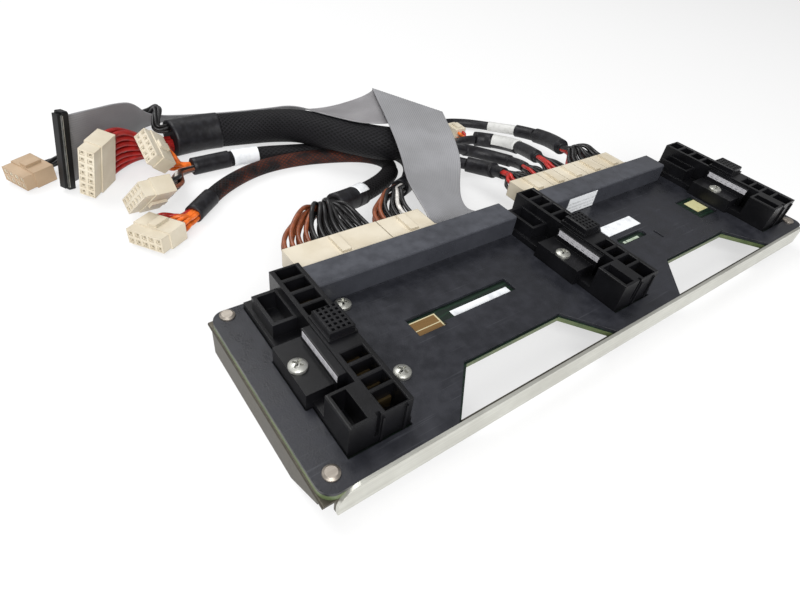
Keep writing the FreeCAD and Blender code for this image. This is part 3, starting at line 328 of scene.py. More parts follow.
def zinc_sheet(name, base, lighter, roughness):
    """Zinc-plated steel: faint rolled streaks along X and soft clouding."""
    finish = Finish(name)
    place = finish.place()
    streak = finish.noise(finish.stretch(place, (8.0, 900.0, 900.0)), 1.0, 4.0)
    cloud = finish.noise(place, 45.0, 5.0)
    tint = finish.mix(finish.between(cloud * 0.6 + streak * 0.4, 0.35, 0.66), base, lighter)
    return finish.set(Base_Color=tint, Metallic=0.85, Roughness=cloud * 0.25 + roughness,
                      Normal=finish.bump(streak, 0.00003, 0.0002))


def circuit_board(name):
    """Green solder mask over fine traces, a gold field in the long window and pale cut edges."""
    finish = Finish(name)
    place = finish.place()
    x, y, _ = finish.axes(place)
    facing = finish.axes(finish.term("ShaderNodeNewGeometry", {}, {}, "Normal"))[2]
    edge = 1 - facing.above(0.5) - (0 - facing).above(0.5)
    cloud = finish.noise(place, 120.0, 3.0)
    track = finish.between((y + cloud * 0.004).wave(TRACK_PITCH), 0.72, 0.9)
    green = finish.mix(track * 0.55, colour(9, 26, 17), colour(20, 50, 32))
    gold = x.within(*GOLD_X) * y.within(*GOLD_Y)
    inner_gold = x.within(*INNER_GOLD_X) * y.within(*INNER_GOLD_Y)
    rim = (gold - inner_gold).largest(gold * y.within(*GOLD_LINE_Y))
    field = finish.mix(gold, green, colour(112, 84, 44))
    lined = finish.mix(rim, field, colour(196, 186, 150))
    cut = finish.mix(finish.between(cloud, 0.3, 0.7), colour(76, 90, 58), colour(102, 112, 76))
    return finish.set(Base_Color=finish.mix(edge, lined, cut), Roughness=0.32 + cloud * 0.15,
                      Normal=finish.bump(track + gold, 0.00004))


def braid(name, strand, gap, turns, pitch, bump, far_gap=None):
    """Braided sleeve: two crossing sets of strands on the cord's own unwrapped surface.

    What shows between the strands may turn to another colour further along the cord.
    """
    finish = Finish(name)
    around, along, _ = finish.axes(finish.unwrapped())
    first = (around * turns + along / pitch).wave(1.0)
    second = (around * turns - along / pitch).wave(1.0)
    weave = first.largest(second)
    fleck = finish.noise(finish.stretch(finish.unwrapped(), (40.0, 900.0, 1.0)), 1.0, 2.0)
    shade = finish.between(weave * 0.8 + fleck * 0.3, 0.62, 1.0)
    patch = finish.between(finish.noise(finish.place(), 90.0, 2.0), 0.35, 0.65)
    if far_gap:
        gap = finish.mix(finish.between(along, *GAP_TURN), gap, far_gap)
    under = finish.mix(patch, gap, darkened(strand, 0.35))
    return finish.set(Base_Color=finish.mix(shade, under, strand), Roughness=0.72 - shade * 0.16,
                      Specular_IOR_Level=0.2, Normal=finish.bump(weave, bump))


def tubing(name, base, lighter, roughness=0.45):
    """Smooth shrink tubing with shallow wrinkles."""
    finish = Finish(name)
    place = finish.place()
    ridge = finish.noise(place, 260.0, 3.0)
    tint = finish.mix(finish.between(ridge, 0.4, 0.7), base, lighter)
    return finish.set(Base_Color=tint, Roughness=roughness + ridge * 0.2 - 0.1,
                      Specular_IOR_Level=0.3, Normal=finish.bump(ridge, 0.0003))


def wire_coat(name, base):
    """Wire insulation with a soft sheen and slight changes of shade."""
    finish = Finish(name)
    shine = finish.noise(finish.place(), 300.0, 2.0)
    tint = finish.mix(finish.between(shine, 0.35, 0.65), darkened(base, 0.65), base)
    return finish.set(Base_Color=tint, Roughness=shine * 0.2 + 0.28)


def flat_cable(name):
    """Grey flat cable: painted shade in the grooves between its wires, and painted shade on its reverse side,
    a darker copy of its grey.
    """
    finish = Finish(name)
    across = finish.axes(finish.unwrapped())[0]
    # Painted shade in the grooves between the wires, stronger on the reverse side
    painted_groove_shade = finish.between((across * RIBBON_WIRES).wave(1.0), 0.25, 0.02)
    cloud = finish.noise(finish.place(), 40.0, 3.0)
    soft = finish.between(cloud, 0.3, 0.7)
    face = finish.mix(soft, colour(138, 138, 140), colour(151, 151, 154))
    # Painted shade: the reverse side is a darker copy of the face's grey
    reverse = finish.mix(soft, colour(126, 124, 126), colour(145, 143, 145))
    turned = across.above(REVERSE - 0.5)
    tint = finish.mix(turned, face, reverse)
    return finish.set(Base_Color=finish.mix(painted_groove_shade * (turned * 0.5 + 0.3), tint, colour(62, 64, 70)),
                      Roughness=cloud * 0.15 + 0.4)


def paper(name, tone, smudged):
    """Bare label stock with a faint smudge."""
    finish = Finish(name)
    smudge = finish.noise(finish.place(), 220.0, 3.0)
    return finish.set(Base_Color=finish.mix(finish.between(smudge, 0.45, 0.75), tone, smudged),
                      Roughness=smudge * 0.2 + 0.4)


def marked_paper(name, tone, along, rows, row_pitch, stroke):
    """Label with rows of plain grey strokes: along is the axis they follow, rows the band they fill."""
    finish = Finish(name)
    place = finish.axes(finish.place())
    smudge = finish.noise(finish.place(), 220.0, 3.0)
    broken = finish.noise(finish.place(), 1300.0, 1.0)
    lines = finish.between(place[2].wave(row_pitch), 0.45, 0.7) * place[2].within(*rows)
    strokes = lines * finish.between(place[along].wave(stroke), 0.3, 0.6) * finish.between(broken, 0.4, 0.5)
    ground = finish.mix(smudge, tone, darkened(tone, 0.82))
    marked = finish.mix(strokes, ground, darkened(tone, 0.42))
    return finish.set(Base_Color=marked, Roughness=smudge * 0.2 + 0.4)


COVER = cover_sheet("cover_black")
HOUSING = moulded_plastic("housing_black", colour(11, 11, 13), colour(20, 20, 23), 0.34, 1.0)
CREAM = moulded_plastic("plug_cream", colour(203, 192, 170), colour(215, 206, 187), 0.42, 0.8, 0.0004)
PEACH = moulded_plastic("plug_peach", colour(174, 149, 121), colour(188, 164, 136), 0.42, 0.8, 0.0004)
BRACKET = zinc_sheet("bracket_zinc", colour(80, 76, 68), colour(100, 96, 86), 0.38)
RAIL = zinc_sheet("rail_zinc", colour(196, 195, 186), colour(216, 216, 208), 0.30)
STEEL = zinc_sheet("fastener_zinc", colour(168, 168, 160), colour(200, 200, 194), 0.28)
RIVET = zinc_sheet("rivet_zinc", colour(156, 148, 138), colour(182, 174, 164), 0.32)
CONTACT = zinc_sheet("contact_plate", colour(84, 70, 46), colour(110, 94, 64), 0.36)
BOARD = circuit_board("board_green")
BRAID_TRUNK = braid("braid_trunk", colour(22, 21, 25), colour(5, 5, 6), 26.0, 0.0034, 0.0003)
BRAID_LEFT = braid("braid_left", colour(27, 25, 27), colour(7, 7, 8), 12.0, 0.0034, 0.00025,
                   far_gap=colour(88, 40, 24))
BRAID_INNER = braid("braid_inner", colour(27, 26, 29), colour(7, 7, 8), 12.0, 0.0034, 0.00025)
SHRINK = tubing("shrink_black", colour(22, 21, 24), colour(34, 34, 38))
TAPE = tubing("tape_black", colour(20, 19, 22), colour(31, 31, 35), 0.42)
RIBBON_GREY = flat_cable("ribbon_grey")
LABEL = paper("label_white", colour(236, 238, 240), colour(212, 215, 219))
YELLOW = paper("label_yellow", colour(196, 192, 146), colour(180, 172, 122))
PALE_GREEN = paper("strip_green", colour(188, 200, 182), colour(156, 172, 148))
SLEEVE_LABEL = paper("label_sleeve", colour(208, 208, 205), colour(190, 190, 186))
SPINE_LABEL = marked_paper("label_spine", colour(190, 189, 193), 1, (0.0291, 0.0309), 0.0018, 0.0034)
HOOD_LABEL = marked_paper("label_hood", colour(240, 242, 244), 0, (0.0195, 0.0255), 0.0024, 0.0011)
WIRES = {
    "black": wire_coat("wire_black", colour(24, 23, 24)),
    "red": wire_coat("wire_red", colour(190, 36, 28)),
    "deep_red": wire_coat("wire_deep_red", colour(168, 28, 24)),
    "orange": wire_coat("wire_orange", colour(240, 116, 34)),
    "brown": wire_coat("wire_brown", colour(138, 74, 44)),
    "white": wire_coat("wire_white", colour(232, 228, 222)),
}


# Mesh writing
ROUTE_STEPS, WIRE_ROUTE_STEPS = 10, 8
SLEEVE_SIDES, LEAD_SIDES, WIRE_SIDES = 32, 10, 8
# Length of the shoulder at each end of a band on a cord, in metres
SHOULDER = 0.0004
# Corners of a node's mesh that are nearer than this are one
WELD = 0.000001


def new_piece(name, mesh, materials, replaced=()):
    """Link a finished mesh with its finishes, and hide the nodes that it stands for."""
    piece = bpy.data.objects.new(name, mesh)
    scene.collection.objects.link(piece)
    for material in materials:
        mesh.materials.append(material)
    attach(piece, "root")
    if replaced:
        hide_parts(*replaced)
    return piece


def finished_mesh(name, shape):
    """A plain mesh of a finished shape, with its faces turned outwards."""
    bmesh.ops.recalc_face_normals(shape, faces=shape.faces)
    mesh = bpy.data.meshes.new(name)
    shape.to_mesh(mesh)
    shape.free()
    return mesh


def plain_mesh(carrier):
    """The mesh that an object comes to; the object itself goes."""
    bpy.context.view_layer.update()
    mesh = bpy.data.meshes.new_from_object(carrier.evaluated_get(bpy.context.evaluated_depsgraph_get()))
    bpy.data.objects.remove(carrier)
    return mesh


def route_line(points, steps=ROUTE_STEPS):
    """Points in metres along the smooth line that the route's points steer."""
    data = bpy.data.curves.new("route", "CURVE")
    data.dimensions = "3D"
    data.resolution_u = steps
    spline = data.splines.new("NURBS")
    spline.points.add(len(points) - 1)
    for control, point in zip(spline.points, points):
        control.co = (*(Vector(point) * MM), 1.0)
    spline.order_u = 3
    spline.use_endpoint_u = True
    carrier = bpy.data.objects.new("route", data)
    scene.collection.objects.link(carrier)
    mesh = plain_mesh(carrier)
    line = [vertex.co.copy() for vertex in mesh.vertices]
    bpy.data.meshes.remove(mesh)
    bpy.data.curves.remove(data)
    return line


def travel(line):
    """Distance from the start to each point of a line."""
    total = [0.0]
    for before, after in zip(line, line[1:]):
        total.append(total[-1] + (after - before).length)
    return total


def frames(line):
    """Heading, side and up of each point of a line, turned no more than the line turns."""
    last = len(line) - 1
    headings = [(line[min(i + 1, last)] - line[max(i - 1, 0)]).normalized() for i in range(len(line))]
    side = headings[0].cross(UP).normalized()
    result = []
    for heading in headings:
        side = (side - heading * side.dot(heading)).normalized()
        result.append((heading, side, side.cross(heading)))
    return result


def end_frame(points):
    """Outwards, sideways and up at the first point of a route."""
    out = (points[0] - points[1]).normalized()
    side = UP.cross(out).normalized()
    return out, side, out.cross(side)


def skin_into(shape, uv, rings, shares, gone):
    """Skin a run of rings and close its ends, unwrapped by the share around a ring and the distance gone.

    Gives the side faces, each with the number of its ring and its place on it, and the two end faces.
    """
    count = len(rings[0])
    sides = []
    for i in range(len(rings) - 1):
        for k in range(count):
            after = (k + 1) % count
            face = shape.faces.new((rings[i][k], rings[i][after], rings[i + 1][after], rings[i + 1][k]))
            face.smooth = True
            for loop, (column, ring) in zip(face.loops, ((k, i), (k + 1, i), (k + 1, i + 1), (k, i + 1))):
                loop[uv].uv = (shares[column], gone[ring])
            sides.append((face, i, k))
    ends = [shape.faces.new(rings[0][::-1]), shape.faces.new(rings[-1])]
    for face, distance in zip(ends, (gone[0], gone[-1])):
        for loop in face.loops:
            loop[uv].uv = (0.0, distance)
    return sides, ends


def tube_stations(line, bands):
    """Distance, point and directions of a tube's rings, at the line's points and the bands' shoulders."""
    gone = travel(line)
    looks = frames(line)
    cuts = sorted(cut for start, end, *_ in bands for cut in (start, start + SHOULDER, end - SHOULDER, end))
    stations = []
    for i, point in enumerate(line):
        stations.append((gone[i], point, looks[i]))
        for cut in cuts:
            if i + 1 < len(line) and gone[i] < cut < gone[i + 1]:
                share = (cut - gone[i]) / (gone[i + 1] - gone[i])
                stations.append((cut, point.lerp(line[i + 1], share), looks[i]))
    return sorted(stations, key=lambda station: station[0])


def tube_into(shape, uv, line, radius, segments, material, bands):
    """Add a closed round tube along a line, with bands of another width and finish over parts of it.

    A band is (start, end, extra radius, material, arc): it is raised where it would sink into the table,
    and its finish covers the arc, as shares of a turn from the near side.
    """
    stations = tube_stations(line, bands)
    gone = [station[0] for station in stations]
    turns = [2 * math.pi * k / segments for k in range(segments)]
    inset = SHOULDER * 0.9
    rings = []
    for distance, point, (_, side, up) in stations:
        wide = radius + max([extra for start, end, extra, *_ in bands
                             if start + inset <= distance <= end - inset], default=0.0)
        raised = point + UP * max(0.0, wide - point.z)
        spokes = [side * math.cos(turn) + up * math.sin(turn) for turn in turns]
        rings.append([shape.verts.new(raised + spoke * wide) for spoke in spokes])
    sides, ends = skin_into(shape, uv, rings, [k / segments for k in range(segments + 1)], gone)
    for face in ends:
        face.material_index = material
    for face, i, k in sides:
        face.material_index = material
        middle = (gone[i] + gone[i + 1]) / 2
        for start, end, _, finish, (arc_from, arc_to) in bands:
            if start <= middle <= end and arc_from <= (k + 0.5) / segments <= arc_to:
                face.material_index = finish


def tubes_piece(name, runs, segments, materials, replaced, bands=()):
    """One piece of one or more tubes: each run is a line, a radius and the number of its finish."""
    shape = bmesh.new()
    uv = shape.loops.layers.uv.new("wrap")
    for line, radius, material in runs:
        tube_into(shape, uv, line, radius, segments, material, bands)
    return new_piece(name, finished_mesh(name, shape), materials, replaced)


def far_axes(plug):
    """Along the cells, out of the wire face, and up, of a plug at a far end."""
    _, _, _, mating, up = FAR_PLUGS[plug]
    outward = -Vector(mating).normalized()
    along = outward.cross(Vector(up)).normalized()
    return along, outward, along.cross(outward)


# Sleeved cords
WHOLE, TOP, TOP_BACK = (0.0, 1.0), (0.03, 0.6), (0.12, 0.55)
# Bands along each cord in millimetres: start, end, extra radius, finish, arc. One that starts below 0 is
# counted back from the far end.
BANDS = {
    "trunk": [(-32, 0, 0.7, 1, WHOLE)],
    "left": [(0, 24, 1.7, 1, WHOLE), (18, 28, 2.0, 2, TOP_BACK), (28, 75, 1.1, 0, WHOLE),
             (-20, 0, 0.6, 1, WHOLE)],
    "inner": [(0, 17, 0.6, 1, WHOLE), (-24, 0, 0.5, 1, WHOLE), (-43, -26, 0.5, 2, WHOLE)],
    "first": [(27, 50, 1.3, 0, WHOLE)],
    "second": [(30, 66, 0.7, 0, WHOLE)],
    # The third's label covers only the top of its band; its lower side keeps the black shrink as painted
    # shade
    "third": [(70, 84, 2.0, 0, WHOLE), (84, 109, 1.8, 1, TOP), (109, 139, 1.1, 0, WHOLE)],
    "fourth": [(119, 142, 0.4, 1, WHOLE), (142, 160, 1.2, 0, WHOLE), (160, 194, 2.0, 0, WHOLE)],
}
CORD_FINISHES = {"trunk": [BRAID_TRUNK, TAPE], "left": [BRAID_LEFT, SHRINK, LABEL],
                 "inner": [BRAID_INNER, TAPE, LABEL]}
BRANCH_FINISHES = [SHRINK, SLEEVE_LABEL]
REPLACED = {"trunk": "trunk_sleeve", "left": "cord_left", "inner": "cord_inner"}
# The pale plug's lead: wires round its middle one, their radius, the radius they run on, the length of a turn
LEAD_WIRES, LEAD_WIRE, LEAD_RADIUS, LEAD_TURN = 5, 0.95, 1.75, 60.0


def branch_routes():
    """Route of each branch, out of its own place in the trunk's end."""
    out, side, lift = end_frame(TRUNK)
    made = {}
    for label, (across, above, _, lay) in BRANCHES.items():
        start = TRUNK[0] + side * (BRANCH_OFFSET * across) + lift * (BRANCH_OFFSET * above)
        made[label] = [start, start + out * LEAD_OUT] + route(lay)
    return made


def peach_route():
    """Route of the pale plug's lead, from the trunk's far end into its plug."""
    out, _, lift = end_frame(TRUNK[::-1])
    plug_out = far_axes("plug_peach")[1]
    start, end = TRUNK[-1] + lift * PEACH_RISE, at(*FAR_PLUGS["plug_peach"][2])
    return [start, start + out * LEAD_OUT] + PEACH_LAY + [end + plug_out * LEAD_OUT, end]


def sleeve(label):
    """A sleeved cord with its collars, tape and labels."""
    far_end = travel(lines[label])[-1] / MM
    bands = []
    for start, end, extra, finish, arc in BANDS[label]:
        base = far_end if start < 0 else 0.0
        bands.append(((start + base) * MM, (end + base) * MM, extra * MM, finish, arc))
    return tubes_piece("sleeve_" + label, [(lines[label], widths[label] / 2 * MM, 0)], SLEEVE_SIDES,
                       CORD_FINISHES.get(label, BRANCH_FINISHES),
                       [REPLACED.get(label, "branch_" + label)], bands)


def twisted_lead(line):
    """Five wires round a sixth, twisted slightly as they lie."""
    runs = [(line, LEAD_WIRE * MM, 0)]
    for strand in range(LEAD_WIRES):
        shifted = []
        for point, distance, (_, side, up) in zip(line, travel(line), frames(line)):
            angle = 2 * math.pi * (strand / LEAD_WIRES + distance / MM / LEAD_TURN)
            shifted.append(point + (side * math.cos(angle) + up * math.sin(angle)) * LEAD_RADIUS * MM)
        runs.append((shifted, LEAD_WIRE * MM, 0))
    return tubes_piece("lead_peach", runs, LEAD_SIDES, [WIRES["black"]], ["cord_peach"])


routes = {"trunk": TRUNK, "left": CORD_LEFT, "inner": CORD_INNER, **branch_routes()}
widths = {"trunk": TRUNK_WIDE, "left": LEFT_WIDE, "inner": INNER_WIDE, "peach": PEACH_WIDE,
          "ribbon": RIBBON_WIDE, **{label: branch[2] for label, branch in BRANCHES.items()}}
lines = {label: route_line(points) for label, points in routes.items()}
cords = {label: sleeve(label) for label in routes}
lines["peach"] = route_line(peach_route())
cords["peach"] = twisted_lead(lines["peach"])

# Loose wires between the plugs and the sleeves: how far they run into both, and their air over the table
INTO_PLUG, INTO_SLEEVE, OVER_TABLE = 3, 4, 0.4
# A wire's straight ends take up no more than this share of its reach; the one at the sleeve is longer by this
STRAIGHT_SHARE, SLEEVE_LEAD = 0.35, 3
# How far a bundle closes towards its sides, how deep it is, and how its wires' arches vary
BUNDLE_CLOSES, BUNDLE_DEEP, ARCHES = 0.9, 1.3, (0.6, 1.2)
# A plug is wider than its cells by this share of a cell
PLUG_WALLS = 0.3


def wire_face(plug):
    """Cells, middle of the wire face and the plug's directions, in millimetres."""
    if plug in FAR_PLUGS:
        cells, _, middle = FAR_PLUGS[plug][:3]
        return cells, at(*middle), far_axes(plug)
    low, high = (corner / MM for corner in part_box(plug))
    cells = round((high.x - low.x) / CELL_PITCH - PLUG_WALLS)
    middle = Vector(((low.x + high.x) / 2, high.y, low.z + PLUG_HEIGHT / 2))
    return cells, middle, (Vector((-1, 0, 0)), Vector((0, 1, 0)), UP)


def loose_wires(fan, plugs, ring, outward, bundle, shade, arch, lead, slack, wide=WIRE_WIDE):
    """One wire from each cell of the plugs into the end of a sleeve, each a little different.

    Ring and outward are the middle and direction of the sleeve's end, and bundle the width it leaves.
    Shade gives each cell's colour. The wires rise by the arch, run straight for the lead and stray by the
    slack.
    """
    faces = [wire_face(plug) for plug in plugs]
    tints = sorted({shade(column, row, cells) for cells, _, _ in faces
                    for column in range(cells) for row in (0, 1)})
    total = sum(cells for cells, _, _ in faces)
    radius = wide / 2
    inside = bundle / 2 - radius
    passed = 0
    runs = []
    for cells, middle, (along, away, over) in faces:
        spread = (along - outward * along.dot(outward)).normalized()
        rise = outward.cross(spread)
        if rise.dot(over) < 0:
            rise = -rise
        for column in range(cells):
            place = 2 * (passed + column + 0.5) / total - 1
            for row in (0, 1):
                cell = (middle + along * ((column - (cells - 1) / 2) * CELL_PITCH)
                        + over * ((row - 0.5) * ROW_PITCH))
                depth = math.sqrt(1 - BUNDLE_CLOSES * place * place) * (row - 0.5) * BUNDLE_DEEP
                end = ring + (spread * place + rise * depth) * inside
                drift = Vector([random.uniform(-slack, slack) for _ in range(3)])
                longest = (end - cell).length * STRAIGHT_SHARE
                first = cell + away * min(lead, longest)
                last = end + outward * min(lead + SLEEVE_LEAD, longest)
                crown = (first + last) / 2 + drift + UP * arch * random.uniform(*ARCHES)
                points = [cell - away * INTO_PLUG, first, crown, last, end - outward * INTO_SLEEVE]
                for point in points:
                    point.z = max(point.z, radius + OVER_TABLE)
                tint = tints.index(shade(column, row, cells))
                runs.append((route_line(points, WIRE_ROUTE_STEPS), radius * MM, tint))
        passed += cells
    return tubes_piece(fan.replace("fan_", "wires_").replace("cord_", "wires_"), runs, WIRE_SIDES,
                       [WIRES[tint] for tint in tints], [fan])


def brown_end(column, row, cells):
    return "brown" if column >= cells * 0.6 else "black"


def curled_black(column, row, cells):
    if column >= cells - 2:
        return "brown"
    return "white" if (column, row) == (1, 1) else "black"


def red_and_black(column, row, cells):
    return "red" if column >= cells * 0.5 and row == 1 else "black"


def mostly_black(column, row, cells):
    return "red" if column == cells - 1 and row == 0 else "black"


def mixed_tints(column, row, cells):
    return ("black", "white", "brown")[(column + 2 * row) % 3]


def orange_and_red(column, row, cells):
    return "red" if column < cells * 0.4 else "orange"


def all_orange(column, row, cells):
    return "orange"


def all_deep_red(column, row, cells):
    return "deep_red"


loose_wires(
    "fan_left_wide", ["plug_left_wide"], CORD_LEFT[0], end_frame(CORD_LEFT)[0], LEFT_WIDE, brown_end,
    arch=9.0, lead=9.0, slack=1.6)
loose_wires(
    "fan_left_narrow", ["plug_left_narrow"], CORD_INNER[0], end_frame(CORD_INNER)[0], INNER_WIDE,
    curled_black, arch=6.0, lead=9.0, slack=1.6)
for label, plugs, shade, arch in (("first", ["plug_right_first"], red_and_black, 1.0),
                                  ("second", ["plug_right_second"], red_and_black, 1.0),
                                  ("third", ["plug_right_third"], red_and_black, 1.0),
                                  ("fourth", ["plug_right_fourth", "plug_right_fifth"], mostly_black, 6.0)):
    loose_wires(
        "fan_right_" + label, plugs, routes[label][-1], end_frame(routes[label][::-1])[0], widths[label],
        shade, arch, lead=4.0, slack=0.3)
trunk_out, _, trunk_lift = end_frame(TRUNK[::-1])
inner_out, inner_side, _ = end_frame(CORD_INNER[::-1])
loose_wires(
    "fan_tall", ["plug_tall"], TRUNK[-1] - trunk_lift * TALL_DROP, trunk_out, TALL_BUNDLE, all_deep_red,
    arch=2.0, lead=8.0, slack=0.5, wide=3.0)
loose_wires(
    "fan_mixed", ["plug_mixed"], CORD_INNER[-1] + inner_side * MIXED_ASIDE, inner_out, MIXED_BUNDLE,
    mixed_tints, arch=1.0, lead=6.0, slack=0.6)
loose_wires(
    "cord_orange", ["plug_orange"], CORD_INNER[-1] - inner_side * ORANGE_ASIDE, inner_out, ORANGE_BUNDLE,
    all_orange, arch=1.0, lead=4.0, slack=0.6)
loose_wires(
    "fan_front", ["plug_front"], CORD_LEFT[-1], end_frame(CORD_LEFT[::-1])[0], LEFT_WIDE, orange_and_red,
    arch=0.6, lead=4.0, slack=0.3)
loose_wires(
    "fan_spare", ["plug_spare"], SPARE_ROOT, SPARE_OUT, SPARE_BUNDLE, orange_and_red,
    arch=0.5, lead=2.0, slack=0.4)

# Flat cable: steps across each wire, and the share of its thickness that is left in the grooves between them
WIRE_STEPS, GROOVE = 3, 0.62


def clamp_frame():
    """Place of the clamp, in millimetres, and its directions: along the cable, across it and up."""
    up = Vector(CLAMP_UP).normalized()
    run = Vector(CLAMP_RUN)
    run = (run - up * run.dot(up)).normalized()
    return at(*CLAMP_PLACE), Matrix((run, up.cross(run), up)).transposed()


def ribbon_sections():
    """Middle and half width of every section, in millimetres, the clamp's two among them."""
    sections = []
    for index, (middle, across) in enumerate(RIBBON):
        half = RIBBON_WIDE / 2 * (SLANT if index in FOLD else 1)
        sections.append((at(*middle), Vector(across).normalized() * half))
    place, turn = clamp_frame()
    for distance in (CLAMP_EXIT, 0.0):
        sections.append((place + turn.col[0] * distance, turn.col[2] * (RIBBON_WIDE / 2)))
    return sections


def ribbed_strip(name):
    """The cable's two edges are smooth lines, and its wires are ridges between them."""
    sections = ribbon_sections()
    left, right = (route_line([middle + across * way for middle, across in sections]) for way in (1, -1))
    middles = [(a + b) / 2 for a, b in zip(left, right)]
    columns = RIBBON_WIRES * WIRE_STEPS
    shares = [j / columns for j in range(columns + 1)]
    swell = [RIBBON_THICK / 2 * MM * (GROOVE + (1 - GROOVE) * abs(math.sin(math.pi * j / WIRE_STEPS)))
             for j in range(columns + 1)]
    shape = bmesh.new()
    uv = shape.loops.layers.uv.new("wrap")
    rings = []
    for i, (a, b) in enumerate(zip(left, right)):
        heading = middles[min(i + 1, len(middles) - 1)] - middles[max(i - 1, 0)]
        up = heading.cross(b - a).normalized()
        upper, lower = ([a.lerp(b, share) + up * (rise * way) for share, rise in zip(shares, swell)]
                        for way in (1, -1))
        rings.append([shape.verts.new(point) for point in upper + lower[::-1]])
    around = shares + [REVERSE + share for share in shares[::-1]]
    skin_into(shape, uv, rings, around + around[:1], travel(middles))
    piece = new_piece(name, finished_mesh(name, shape), [RIBBON_GREY], ["ribbon_cable"])
    return piece, middles


cords["ribbon"], lines["ribbon"] = ribbed_strip("flat_cable")


# Geometry trees
def geometry_tree(name, inputs):
    """A geometry tree with named inputs: the tree, the terms of its inputs and their sockets."""
    group = bpy.data.node_groups.new(name, "GeometryNodeTree")
    sockets = {label: group.interface.new_socket(label, in_out="INPUT", socket_type="NodeSocket" + kind)
               for label, kind in inputs.items()}
    group.interface.new_socket("Made", in_out="OUTPUT", socket_type="NodeSocketGeometry")
    tree = Tree(group)
    inlet = tree.node("NodeGroupInput", {}, {})
    return tree, [Term(tree, inlet.outputs[i]) for i in range(len(sockets))], sockets


def end_tree(tree, placed, material):
    """Make the placed copies real and give them their finish."""
    real = tree.term("GeometryNodeRealizeInstances", {}, {"Geometry": placed})
    finished = tree.term("GeometryNodeSetMaterial", {}, {"Geometry": real, "Material": material})
    tree.node("NodeGroupOutput", {}, {0: finished})


def mesh_from_tree(name, tree, sockets, base, values):
    """The plain mesh that a geometry tree makes of a base mesh and its input values."""
    carrier = bpy.data.objects.new(name, base)
    scene.collection.objects.link(carrier)
    modifier = carrier.modifiers.new(name, "NODES")
    modifier.node_group = tree.tree
    for label, value in values.items():
        modifier[sockets[label].identifier] = value
    mesh = plain_mesh(carrier)
    mesh.name = name
    return mesh


# Screw heads: a geometry tree makes one domed head with a cross recess and sets it on every seat
HEAD_WIDE, HEAD_TALL = 7.4, 2.6
# Radius of the dome and width of the recess as shares of the head's width, the recess's depth as a share of
# the head's height, and the width of its slots as a share of its own width
DOME_SHARE, RECESS_SHARE, RECESS_DEEP, SLOT_SHARE = 0.78, 0.62, 0.55, 0.24


def screw_tree():
    sizes = ("Head Width", "Head Height", "Recess Width", "Recess Depth")
    tree, (seats, width, height, recess, depth), sockets = geometry_tree(
        "screw_heads", {"Seats": "Geometry", **dict.fromkeys(sizes, "Float")})
    barrel = tree.term("GeometryNodeMeshCylinder", {}, {"Vertices": 40, "Radius": width / 2, "Depth": height})
    dome_radius = width * DOME_SHARE
    ball = tree.term("GeometryNodeMeshUVSphere", {}, {"Segments": 40, "Rings": 32, "Radius": dome_radius})
    drop = tree.term("ShaderNodeCombineXYZ", {}, {"Z": height / 2 - dome_radius})
    dome = tree.term("GeometryNodeTransform", {}, {"Geometry": ball, "Translation": drop})
    head = tree.term("GeometryNodeMeshBoolean", {"operation": "INTERSECT"}, {"Mesh 2": [barrel, dome]})
    half_up = tree.term("ShaderNodeCombineXYZ", {}, {"Z": height / 2})
    slots = []
    for long_axis, short_axis in ("XY", "YX"):
        extent = tree.term("ShaderNodeCombineXYZ", {}, {long_axis: recess, short_axis: recess * SLOT_SHARE,
                                                        "Z": depth * 2})
        slot = tree.term("GeometryNodeMeshCube", {}, {"Size": extent})
        slots.append(tree.term("GeometryNodeTransform", {}, {"Geometry": slot, "Translation": half_up}))
    cut = tree.term("GeometryNodeMeshBoolean", {"operation": "DIFFERENCE"}, {"Mesh 1": head, "Mesh 2": slots})
    stood = tree.term("GeometryNodeTransform", {}, {"Geometry": cut, "Translation": half_up})
    points = tree.term("GeometryNodeMeshToPoints", {}, {"Mesh": seats})
    turn = tree.term("FunctionNodeRandomValue", {"data_type": "FLOAT"}, {2: 0.0, 3: math.pi, "Seed": 4}, 1)
    spin = tree.term("ShaderNodeCombineXYZ", {}, {"Z": turn})
    placed = tree.term("GeometryNodeInstanceOnPoints", {},
                       {"Points": points, "Instance": stood, "Rotation": spin})
    end_tree(tree, placed, STEEL)
    return tree, sockets


def islands(mesh):
    """Corner places of each separate solid of a node."""
    shape = bmesh.new()
    shape.from_mesh(mesh)
    bmesh.ops.remove_doubles(shape, verts=shape.verts, dist=WELD)
    left = set(shape.verts)
    groups = []
    while left:
        waiting = [left.pop()]
        found = []
        while waiting:
            vertex = waiting.pop()
            found.append(vertex.co.copy())
            for edge in vertex.link_edges:
                other = edge.other_vert(vertex)
                if other in left:
                    left.remove(other)
                    waiting.append(other)
        groups.append(found)
    shape.free()
    return groups


def screw_heads():
    """Domed heads on the connector's screws, each over its own solid's seat."""
    seats = []
    for island in islands(nodes["connector_screws"].data):
        low = [min(corner[axis] for corner in island) for axis in range(3)]
        high = [max(corner[axis] for corner in island) for axis in range(3)]
        seats.append(((low[0] + high[0]) / 2, (low[1] + high[1]) / 2, high[2] - HEAD_TALL * MM))
    seats.sort()
    base = bpy.data.meshes.new("seats")
    base.from_pydata(seats, [], [])
    tree, sockets = screw_tree()
    made = mesh_from_tree("screw_heads", tree, sockets, base, {
        "Head Width": HEAD_WIDE * MM, "Head Height": HEAD_TALL * MM,
        "Recess Width": HEAD_WIDE * RECESS_SHARE * MM, "Recess Depth": HEAD_TALL * RECESS_DEEP * MM})
    return new_piece("screw_heads", made, [], ["connector_screws"])


screw_heads()

# Finishes of the solids that stay
SOLID_FINISHES = {"steel_bracket": BRACKET, "front_rail": RAIL, "corner_rivets": RIVET,
                  "connector_screws": STEEL, "insulator_cover": COVER, "circuit_board": BOARD,
                  "plug_peach": PEACH, "header_ribbon": HOUSING}


